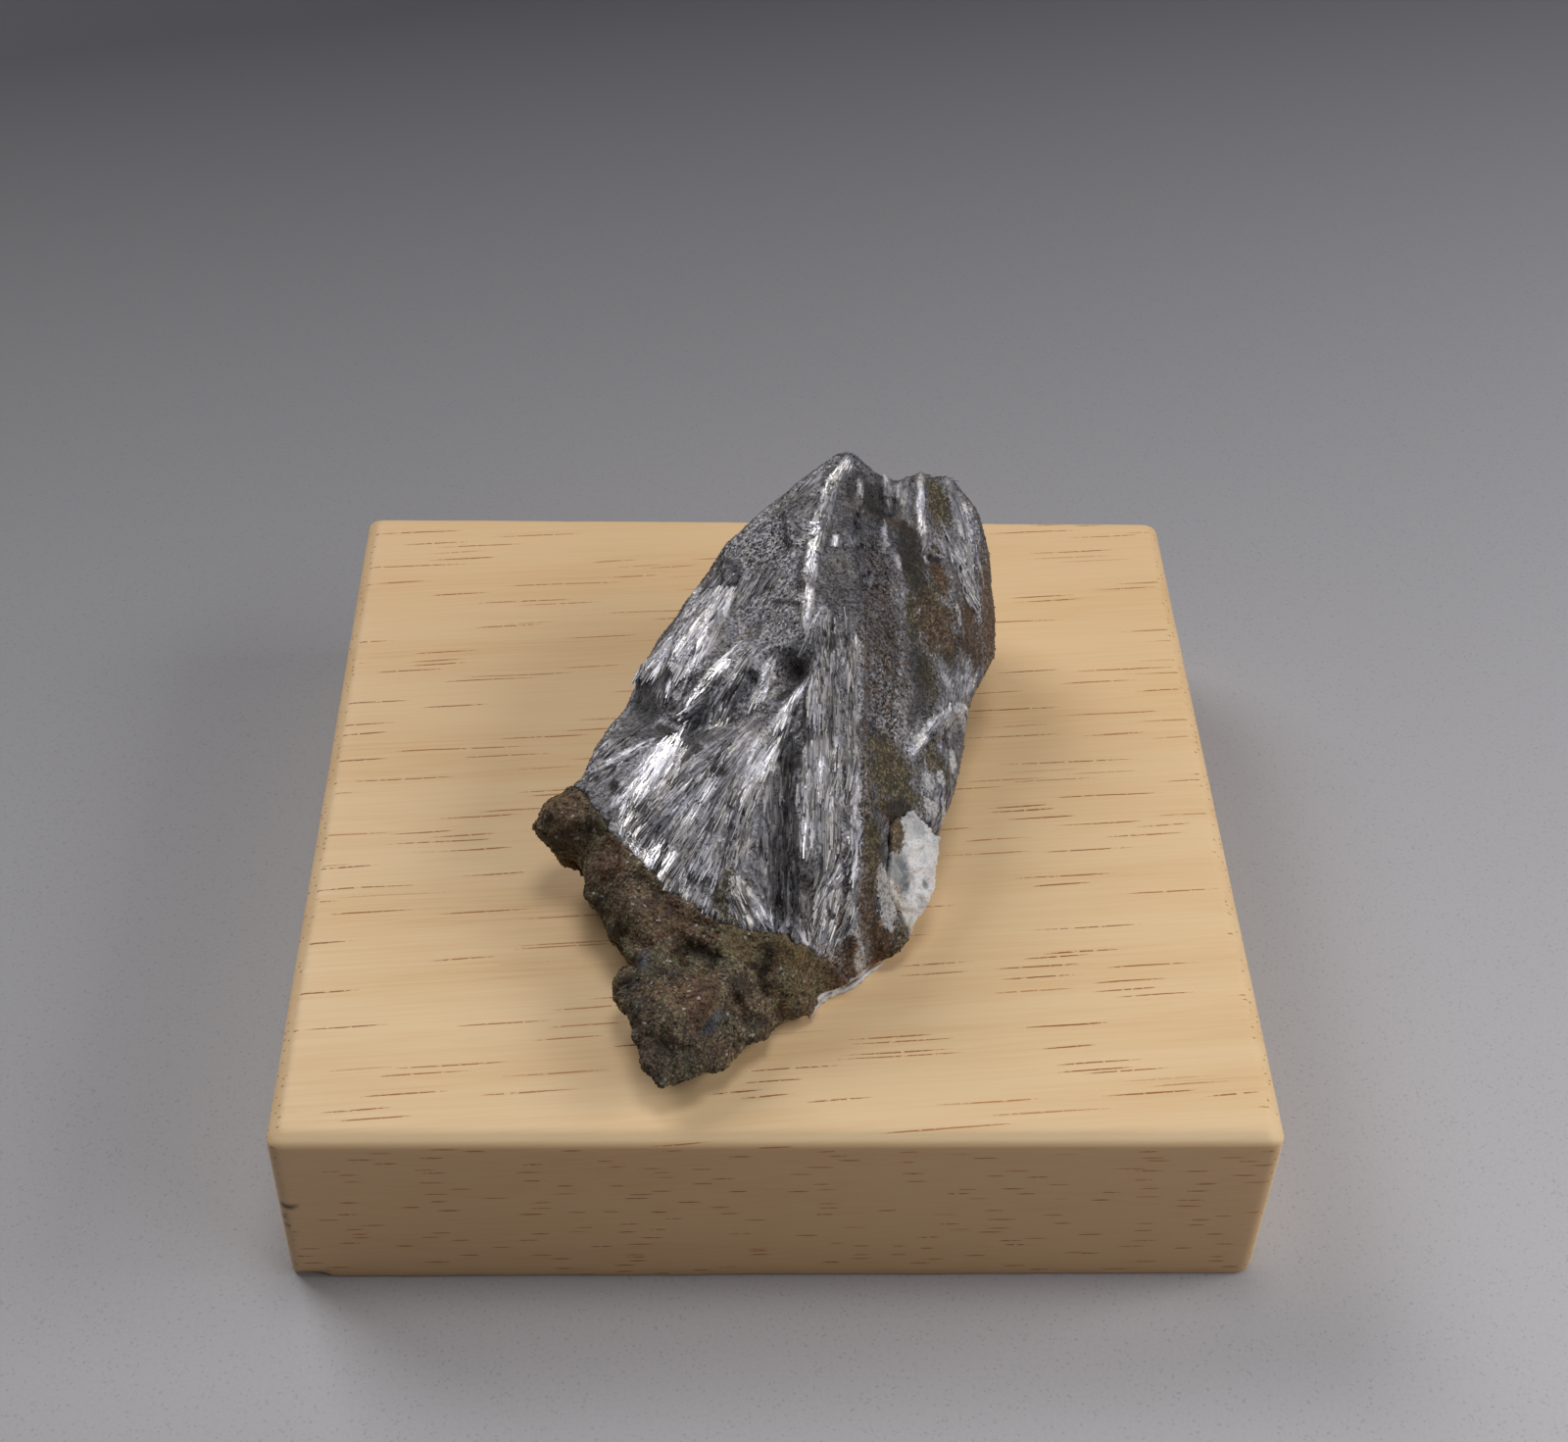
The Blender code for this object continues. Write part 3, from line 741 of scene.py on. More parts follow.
class Relief:
    """Seeded noise fields over points in millimetres."""

    @staticmethod
    def _chance(cells: np.ndarray, seed: int) -> np.ndarray:
        """A fixed random number in 0..1 for each whole-number cell."""
        c = cells.astype(np.int64).astype(np.uint32)
        n = c[..., 0] * np.uint32(73856093) ^ c[..., 1] * np.uint32(19349663)
        n ^= c[..., 2] * np.uint32(83492791) ^ np.uint32((seed * 2654435761) % 2**32)
        n = (n ^ (n >> np.uint32(15))) * np.uint32(2246822519)
        n = (n ^ (n >> np.uint32(13))) * np.uint32(3266489917)
        return (n ^ (n >> np.uint32(16))).astype(np.float64) / 2**32

    @classmethod
    def cloud(cls, points: np.ndarray, size: float, seed: int, layers: int = 1) -> np.ndarray:
        """Smooth noise in -1..1.

        Args:
            points: (n, 3) places.
            size: the size of a lump.
            seed: chooses the pattern.
            layers: how many layers there are, each half the size of the last.

        Returns:
            (n,) values.
        """
        total, weight = np.zeros(len(points)), 0.0
        for layer in range(layers):
            q = points / (size * 0.5**layer) + 17.3 * (layer + 1)
            base = np.floor(q)
            s = q - base
            s = s * s * (3 - 2 * s)
            value = np.zeros(len(points))
            for corner in itertools.product((0, 1), repeat=3):
                share = np.prod(np.where(np.array(corner) == 1, s, 1 - s), axis=1)
                value += share * cls._chance(base + corner, seed + 31 * layer)
            total += (value * 2 - 1) * 0.55**layer
            weight += 0.55**layer
        return total / weight

    @classmethod
    def facets(cls, points: np.ndarray, size: float, seed: int, tilt: float) -> np.ndarray:
        """Broken facets: each cell is one tilted plane.

        Args:
            points: (n, 3) places.
            size: how wide a facet is.
            seed: chooses the pattern.
            tilt: how steeply the planes lean.

        Returns:
            (n,) heights, about -1..1.
        """
        q = points / size
        base = np.floor(q)
        nearest = np.full(len(q), 1e9)
        offset = np.zeros_like(q)
        cell = np.zeros_like(q)
        for step in itertools.product((-1, 0, 1), repeat=3):
            at = base + step
            middle = at + np.stack([cls._chance(at, seed + k) for k in (1, 2, 3)], 1)
            away = q - middle
            distance = (away**2).sum(1)
            closer = distance < nearest
            nearest = np.where(closer, distance, nearest)
            offset = np.where(closer[:, None], away, offset)
            cell = np.where(closer[:, None], at, cell)
        lean = np.stack([cls._chance(cell, seed + k) for k in (4, 5, 6)], 1) * 2 - 1
        chance = cls._chance(cell, seed + 7)
        return (chance * 2 - 1) * 0.5 + (offset * lean).sum(1) * tilt


@dataclass(frozen=True)
class Lump:
    """An egg-shaped lump that a skin takes in: its middle and its three radii."""

    place: tuple[float, float, float]
    radii: tuple[float, float, float]

    def add_to(self, bm: bmesh.types.BMesh) -> None:
        """Adds the lump to a mesh in the making."""
        shape = Matrix.Translation(Vector(self.place) * MM) @ Matrix.Diagonal((*self.radii, 1.0))
        bmesh.ops.create_icosphere(bm, subdivisions=4, radius=MM, matrix=shape)


@dataclass(frozen=True)
class Shift:
    """A soft push of part of a surface: where, how far round it, and which way."""

    place: tuple[float, float, float]
    reach: float
    way: tuple[float, float, float]

    def apply(self, bm: bmesh.types.BMesh) -> None:
        """Pushes the points of a mesh in the making."""
        for vertex in bm.verts:
            share = math.exp(-((vertex.co / MM - Vector(self.place)).length / self.reach) ** 2)
            vertex.co += Vector(self.way) * share * MM


@dataclass
class Skin:
    """A CAD solid's surface as a fine mesh whose points can be moved, in millimetres."""

    name: str
    points: np.ndarray
    normals: np.ndarray
    edges: np.ndarray
    mesh: bpy.types.Mesh

    @classmethod
    def of_node(
        cls, name: str, node: bpy.types.Object, voxel: float, changes: Sequence[Shift | Lump] = ()
    ) -> Skin:
        """Makes a fine, closed copy of a node.

        Args:
            name: the new piece's name.
            node: the CAD node; it is only read.
            voxel: the size of the new faces.
            changes: shifts and lumps that the copy takes in.

        Returns:
            The skin.
        """
        bm = bmesh.new()
        bm.from_mesh(node.data)
        bmesh.ops.remove_doubles(bm, verts=bm.verts, dist=2e-6)
        for change in changes:
            if isinstance(change, Shift):
                change.apply(bm)
            else:
                change.add_to(bm)
        coarse = mesh_of(bm, name + "_coarse")
        helper = linked(name + "_coarse", coarse)
        remesh = helper.modifiers.new("remesh", "REMESH")
        remesh.mode = "VOXEL"
        remesh.voxel_size = voxel * MM
        relax = helper.modifiers.new("relax", "SMOOTH")
        relax.factor = 0.5
        relax.iterations = 3
        graph = bpy.context.evaluated_depsgraph_get()
        mesh = bpy.data.meshes.new_from_object(helper.evaluated_get(graph))
        bpy.data.objects.remove(helper)
        bpy.data.meshes.remove(coarse)
        mesh.name = name
        mesh.materials.clear()
        for attribute in [a.name for a in mesh.attributes if not a.is_required]:
            if attribute in mesh.attributes:
                mesh.attributes.remove(mesh.attributes[attribute])
        skin = cls(name, np.empty(0), np.empty(0), np.empty(0), mesh)
        edges = np.empty(len(mesh.edges) * 2, np.int32)
        mesh.edges.foreach_get("vertices", edges)
        skin.edges = edges.reshape(-1, 2)
        skin.read()
        return skin

    def read(self) -> None:
        """Takes the points and normals from the mesh."""
        count = len(self.mesh.vertices)
        points, normals = np.empty(count * 3, np.float32), np.empty(count * 3, np.float32)
        self.mesh.vertices.foreach_get("co", points)
        self.mesh.vertex_normals.foreach_get("vector", normals)
        self.points = points.reshape(-1, 3).astype(np.float64) / MM
        self.normals = normals.reshape(-1, 3).astype(np.float64)

    def _write(self) -> None:
        """Puts the points back into the mesh and takes its new normals."""
        self.mesh.vertices.foreach_set("co", (self.points * MM).astype(np.float32).ravel())
        self.mesh.update()
        self.read()

    def push(self, height: np.ndarray) -> None:
        """Moves each point along its normal by that height."""
        self.points = self.points + self.normals * height[:, None]
        self._write()

    def rest_on(self, floor: float) -> None:
        """Keeps every point at or above that height."""
        self.points[:, 2] = np.maximum(self.points[:, 2], floor)
        self._write()

    def clear_of(self, floor: float) -> np.ndarray:
        """How much relief each point keeps: a fifth of it on the floor, all of it above."""
        return 0.2 + 0.8 * smooth(floor, floor + 1.8, self.points[:, 2])

    def blurred(self, values: np.ndarray, rounds: int) -> np.ndarray:
        """Values averaged over neighbouring points that many times."""
        count = len(self.points)
        a, b = self.edges[:, 0], self.edges[:, 1]
        ends = np.bincount(a, minlength=count) + np.bincount(b, minlength=count) + 1.0
        flat = values.reshape(count, -1).astype(np.float64)
        for _ in range(rounds):
            columns = [
                np.bincount(a, flat[b, k], count) + np.bincount(b, flat[a, k], count) + flat[:, k]
                for k in range(flat.shape[1])
            ]
            flat = np.stack(columns, 1) / ends[:, None]
        return flat.reshape(values.shape)

    def hollows(self, rounds: int) -> np.ndarray:
        """How far each point lies below its surroundings, in millimetres; negative on ridges."""
        return ((self.blurred(self.points, rounds) - self.points) * self.normals).sum(1)

    def away_from(self, nodes: Iterable[bpy.types.Object], reach: float) -> np.ndarray:
        """How far each point is from the nearest of some CAD nodes, up to reach, in millimetres."""
        nearest = np.full(len(self.points), reach)
        for node in nodes:
            corners = [vertex.co / MM for vertex in node.data.vertices]
            tree = BVHTree.FromPolygons(corners, [face.vertices for face in node.data.polygons])
            for number, point in enumerate(self.points):
                found = tree.find_nearest(Vector(point), float(nearest[number]))
                if found[3] is not None:
                    nearest[number] = found[3]
        return nearest

    def carry(self, **values: np.ndarray) -> None:
        """Stores numbers or vectors on every point, for materials and Geometry Nodes."""
        for name, value in values.items():
            kind, key = ("FLOAT", "value") if value.ndim == 1 else ("FLOAT_VECTOR", "vector")
            attribute = self.mesh.attributes.new(name, kind, "POINT")
            attribute.data.foreach_set(key, value.astype(np.float32).ravel())

    def piece(self, finish: bpy.types.Material) -> bpy.types.Object:
        """Turns the skin into a smooth object of the scene with one material."""
        self.mesh.polygons.foreach_set("use_smooth", [True] * len(self.mesh.polygons))
        self.mesh.materials.append(finish)
        return linked(self.name, self.mesh)


# --------------------------------------------------------------------------
# Small shapes scattered by Geometry Nodes
# --------------------------------------------------------------------------


class Shape(Enum):
    """The small solids that are strewn over the stone."""

    SLIVER = "sliver"
    CHIP = "chip"


@dataclass(frozen=True)
class Seedling:
    """One small solid, 1 unit across, that a scatter repeats."""

    shape: Shape

    def build(self) -> bpy.types.Object:
        """Builds the solid as an object that is removed once the scatter is made."""
        bm = bmesh.new()
        if self.shape is Shape.SLIVER:
            self._sliver(bm)
        else:
            self._chip(bm)
        bmesh.ops.triangulate(bm, faces=bm.faces)
        bmesh.ops.recalc_face_normals(bm, faces=bm.faces)
        return linked(self.shape.value, mesh_of(bm, self.shape.value))

    @staticmethod
    def _sliver(bm: bmesh.types.BMesh) -> None:
        """A flat sliver along X whose two ends dip into the surface."""
        section = ((-0.5, -0.6), (-0.4, 0.32), (0.36, 0.5), (0.5, -0.6))
        rings = []
        for x, sink, shrink in ((-0.5, 0.95, 0.75), (0.06, 0.0, 1.0), (0.5, 0.95, 0.65)):
            rings.append([bm.verts.new((x, y * shrink, z * shrink - sink)) for y, z in section])
        close_tube(bm, rings)

    @staticmethod
    def _chip(bm: bmesh.types.BMesh) -> None:
        """An uneven block with no two faces parallel."""
        bmesh.ops.create_cube(bm, size=0.8)
        rng = np.random.default_rng(5)
        for vertex in bm.verts:
            vertex.co.x += vertex.co.z * 0.3
            vertex.co += Vector(rng.uniform(-0.14, 0.14, 3))


@dataclass(frozen=True)
class Scatter:
    """Strews one small solid over a skin, laid along its fibres.

    The skin carries: fibre and facing (vectors), reach, girth and loose (shares of
    size and tilt) and, under the name in where, the share of the density. Each solid
    carries shade, a random number, to its material.
    """

    name: str
    shape: Shape
    per_mm2: float
    length: float
    width: float
    thick: float
    tilt: float
    seed: int
    where: str = "crowd"
    inputs: ClassVar[dict[str, str]] = {
        "Geometry": "Geometry",
        "Solid": "Object",
        **dict.fromkeys(("Density", "Length", "Width", "Thickness", "Tilt"), "Float"),
        "Seed": "Int",
        "Finish": "Material",
    }

    def _tree(self) -> bpy.types.NodeTree:
        """Builds the scatter's node tree."""
        tree = bpy.data.node_groups.new(self.name + "_scatter", "GeometryNodeTree")
        for label, kind in self.inputs.items():
            tree.interface.new_socket(label, in_out="INPUT", socket_type="NodeSocket" + kind)
        tree.interface.new_socket("Geometry", in_out="OUTPUT", socket_type="NodeSocketGeometry")
        g = Graph(tree)
        given = g.node("NodeGroupInput", None, None, "Geometry")

        def held(name: str, kind: str = "FLOAT") -> Sock:
            """What the skin carries under that name."""
            settings, sockets = {"data_type": kind}, {"Name": name}
            return g.node("GeometryNodeInputNamedAttribute", settings, sockets, "Attribute")

        def laid_along(axis: str, name: str, settings: dict[str, Any], start: Any = None) -> Sock:
            """A turn that brings an axis onto a vector that the skin carries."""
            sockets = {"Vector": held(name, "FLOAT_VECTOR")}
            if start is not None:
                sockets["Rotation"] = start
            return g.node("FunctionNodeAlignRotationToVector", {"axis": axis, **settings}, sockets)

        def chance(low: Any, high: Any, shift: int, kind: str = "FLOAT") -> Sock:
            """A random value for each solid."""
            sockets = {"Min": low, "Max": high, "Seed": given.other("Seed") + float(shift)}
            return g.node("FunctionNodeRandomValue", {"data_type": kind}, sockets, "Value")

        density = given.other("Density") * held(self.where)
        spots = g.node(
            "GeometryNodeDistributePointsOnFaces",
            {"distribute_method": "RANDOM"},
            {"Mesh": given, "Density": density, "Seed": given.other("Seed")},
            "Points",
        )
        upright = laid_along("Z", "facing", {})
        laid = laid_along("X", "fibre", {"pivot_axis": "Z"}, upright)
        swing = given.other("Tilt") * held("loose")
        wobble = chance((-0.8, -0.4, -0.35), (0.8, 0.25, 0.35), 3, "FLOAT_VECTOR") * swing
        sway = g.node("FunctionNodeEulerToRotation", None, {0: wobble})
        turned = g.node(
            "FunctionNodeRotateRotation",
            {"rotation_space": "LOCAL"},
            {"Rotation": laid, "Rotate By": sway},
        )
        long = given.other("Length") * held("reach") * chance(0.45, 1.55, 5)
        wide = given.other("Width") * held("girth") * chance(0.55, 1.5, 7)
        deep = given.other("Thickness") * held("girth") * chance(0.6, 1.4, 9)
        scale = g.node("ShaderNodeCombineXYZ", None, {"X": long, "Y": wide, "Z": deep})
        solid = g.node("GeometryNodeObjectInfo", None, {"Object": given.other("Solid")}, "Geometry")
        strewn = g.node(
            "GeometryNodeInstanceOnPoints",
            None,
            {"Points": spots, "Instance": solid, "Rotation": turned, "Scale": scale},
            "Instances",
        )
        shaded = g.node(
            "GeometryNodeStoreNamedAttribute",
            {"data_type": "FLOAT", "domain": "INSTANCE"},
            {"Geometry": strewn, "Name": "shade", "Value": chance(0.0, 1.0, 11)},
        )
        real = g.node("GeometryNodeRealizeInstances", None, {"Geometry": shaded})
        sockets = {"Geometry": real, "Material": given.other("Finish")}
        dressed = g.node("GeometryNodeSetMaterial", None, sockets)
        g.node("NodeGroupOutput", None, {"Geometry": dressed})
        return tree

    def over(self, skin: Skin, finish: bpy.types.Material) -> bpy.types.Object:
        """Strews the solids over a skin.

        Args:
            skin: the surface; its mesh is only read.
            finish: the material of the solids.

        Returns:
            One plain mesh object.
        """
        seedling = Seedling(self.shape).build()
        host = linked(self.name, skin.mesh.copy())
        modifier = host.modifiers.new("scatter", "NODES")
        modifier.node_group = tree = self._tree()
        values = {
            "Solid": seedling,
            "Density": self.per_mm2 / MM**2,
            "Length": self.length * MM,
            "Width": self.width * MM,
            "Thickness": self.thick * MM,
            "Tilt": math.radians(self.tilt),
            "Seed": self.seed,
            "Finish": finish,
        }
        for item in tree.interface.items_tree:
            if item.item_type == "SOCKET" and item.in_out == "INPUT" and item.name in values:
                modifier[item.identifier] = values[item.name]
        graph = bpy.context.evaluated_depsgraph_get()
        mesh = bpy.data.meshes.new_from_object(host.evaluated_get(graph))
        host.modifiers.remove(modifier)
        old, host.data = host.data, mesh
        bpy.data.meshes.remove(old)
        bpy.data.objects.remove(seedling)
        for name in ("fibre", "crowd", "grit", "reach", "girth", "loose"):
            if name in mesh.attributes:
                mesh.attributes.remove(mesh.attributes[name])
        return host


# --------------------------------------------------------------------------
# Where the crystals run and what stains them
# --------------------------------------------------------------------------


@dataclass(frozen=True)
class Sheaf:
    """A bundle of parallel or fanned crystals, head to tail, seen in plan."""

    name: str
    head: tuple[float, float]
    tail: tuple[float, float]
    head_width: float
    tail_width: float
    # how shiny the metal is, and how far a painted highlight lightens its base colour
    shine: float
    reach: float = 1.0
    girth: float = 1.0


class Stain(Enum):
    """What a patch of the surface carries."""

    RUST = "rust"
    OLIVE = "olive"
    SEAMS_AND_PAINTED_SHADE = "gloom"
    # painted shade in creases, hollows and on shadowed faces, and dark seams
    DULL = "dull"
    SMOOTH = "smooth"
    OCHRE = "ochre"
    SLATE = "slate"
    GREY = "grey"
    WARM = "warm"
    RED = "red"
    STAIN = "stain"
    MILK = "milk"
    CRUST = "crust"
    # a painted highlight along bright cleavage faces
    GLARE = "glare"


@dataclass(frozen=True)
class Patch:
    """An oval patch in plan: its middle, its two radii, its strength, its turn in degrees."""

    kind: Stain
    x: float
    y: float
    rx: float
    ry: float
    strength: float = 1.0
    turn: float = 0.0

    def share(self, points: np.ndarray, edge: np.ndarray) -> np.ndarray:
        """How much of the patch lies on each point.

        Args:
            points: (n, 3) places.
            edge: (n,) noise that frays the patch's edge.

        Returns:
            (n,) values from 0 to strength.
        """
        c, s = math.cos(math.radians(self.turn)), math.sin(math.radians(self.turn))
        dx, dy = points[:, 0] - self.x, points[:, 1] - self.y
        along, across = (dx * c + dy * s) / self.rx, (dy * c - dx * s) / self.ry
        return smooth(1.45, 0.4, np.sqrt(along**2 + across**2) + edge * 0.5) * self.strength


def patches_of(table: dict[Stain, Iterable[tuple[float, ...]]]) -> tuple[Patch, ...]:
    """The patches of a table that has rows of x, y, rx, ry, strength and turn for each kind."""
    return tuple(Patch(kind, *row) for kind, rows in table.items() for row in rows)


@dataclass(frozen=True)
class Streak:
    """A line in plan with round ends: a painted highlight on a cleavage face, or, below 0, a dark
    seam with painted shade.
    """

    x0: float
    y0: float
    x1: float
    y1: float
    half: float
    strength: float

    def share(self, points: np.ndarray, edge: np.ndarray) -> np.ndarray:
        """How much of the streak lies on each point, from 0 to its strength."""
        start = np.array([self.x0, self.y0])
        run = np.array([self.x1, self.y1]) - start
        off = points[:, :2] - start
        along = np.clip(off @ run / max(run @ run, 1e-6), 0, 1)
        gap = np.linalg.norm(off - along[:, None] * run, axis=1) / self.half
        return smooth(1.35, 0.65, gap + edge * 0.4) * abs(self.strength)


@dataclass
class FibreField:
    """Turns the list of sheaves into directions and sizes at every point."""

    sheaves: Sequence[Sheaf]
    fall: float = 0.55  # how far the crystals go down for each step outwards
    fray: float = 0.4
    ground_shine: float = 0.24
    ground_reach: float = 0.5
    ground_girth: float = 0.7
    direction: np.ndarray = field(init=False)
    lay: np.ndarray = field(init=False)
    inside: np.ndarray = field(init=False)
    nearest: np.ndarray = field(init=False)
    values: dict[str, np.ndarray] = field(init=False, default_factory=dict)

    def read(self, points: np.ndarray) -> None:
        """Works out the field.

        Args:
            points: (n, 3) places.
        """
        count = len(points)
        fray = np.stack([Relief.cloud(points, 1.3, seed, 2) for seed in (71, 72)], 1)
        frayed = points[:, :2] + self.fray * fray
        best = np.full(count, 1e9)
        self.nearest = np.zeros(count, int)
        blend = np.zeros((count, 2))
        self.lay = np.zeros((count, 3))
        for number, sheaf in enumerate(self.sheaves):
            head, tail = np.array(sheaf.head), np.array(sheaf.tail)
            length = float(np.linalg.norm(tail - head))
            run = (tail - head) / length
            side = np.array([-run[1], run[0]])
            off = frayed - head
            along, across = off @ run, off @ side
            share = np.clip(along / length, 0, 1)
            half = 0.5 * (sheaf.head_width + (sheaf.tail_width - sheaf.head_width) * share)
            over = np.maximum(0, np.maximum(-along, along - length))
            metric = np.hypot(np.abs(across) / half, over / (0.12 * length + 0.35))
            spread = math.atan2(sheaf.tail_width - sheaf.head_width, 2 * length)
            angle = np.clip(across / half, -1.6, 1.6) * spread
            turned = run * np.cos(angle)[:, None] + side * np.sin(angle)[:, None]
            blend += turned / (metric**2 + 0.25)[:, None] ** 2
            slant = np.array([run[0], run[1], -self.fall]) / math.hypot(1, self.fall)
            down = np.cross(slant, np.append(side, 0.0))
            away = points - np.append(head, 45.0)
            widening = 1 + np.clip(along, 0, None) * math.tan(spread) / half.clip(0.3)
            level = away @ down * 0.6 + number * 7.0
            place = np.stack(
                [away @ slant * LAY_STRETCH, (away[:, :2] @ side) / widening, level], 1
            )
            closer = metric < best
            best = np.where(closer, metric, best)
            self.nearest = np.where(closer, number, self.nearest)
            self.lay = np.where(closer[:, None], place, self.lay)
        self.direction = unit(blend)
        self.inside = smooth(1.25, 0.8, best)
        for name in ("shine", "reach", "girth"):
            own = np.array([getattr(s, name) for s in self.sheaves])[self.nearest]
            ground = getattr(self, "ground_" + name)
            self.values[name] = ground + (own - ground) * self.inside

    def tangent(self, normals: np.ndarray) -> np.ndarray:
        """The direction laid into the surface at each point."""
        flat = np.column_stack([self.direction, np.full(len(self.direction), -0.25)])
        flat -= normals * (flat * normals).sum(1)[:, None]
        return unit(flat)


class StonePart:
    """What the parts of the stone share: a skin, its joints and the patches on it."""

    node: str
    voxel: float
    patches: tuple[Patch, ...]
    changes: tuple[Shift | Lump, ...] = ()

    def skin(
        self, name: str, nodes: dict[str, bpy.types.Object], reach: float
    ) -> tuple[Skin, np.ndarray]:
        """Makes the part's skin.

        Args:
            name: the new piece's name.
            nodes: the CAD nodes by name.
            reach: how far the other parts of the stone are looked for.

        Returns:
            The skin and how far each of its points is from the other parts.
        """
        skin = Skin.of_node(name, nodes[self.node], self.voxel, self.changes)
        rest = [node for key, node in nodes.items() if key in STONE and key != self.node]
        return skin, skin.away_from(rest, reach)

    def stains(
        self, points: np.ndarray, edge: np.ndarray, kinds: Iterable[Stain] = Stain
    ) -> dict[Stain, np.ndarray]:
        """Reads the part's patches.

        Args:
            points: (n, 3) places.
            edge: (n,) noise that frays the patches' edges.
            kinds: the kinds that are wanted.

        Returns:
            For each kind, the strongest of its patches at each point.
        """
        found = {kind: np.zeros(len(points)) for kind in kinds}
        for patch in self.patches:
            if patch.kind in found:
                found[patch.kind] = np.maximum(found[patch.kind], patch.share(points, edge))
        return found

    @staticmethod
    def joint(apart: np.ndarray) -> np.ndarray:
        """1 where the part touches another one, down to 0 a millimetre away."""
        return smooth(0.9, 0.1, apart)


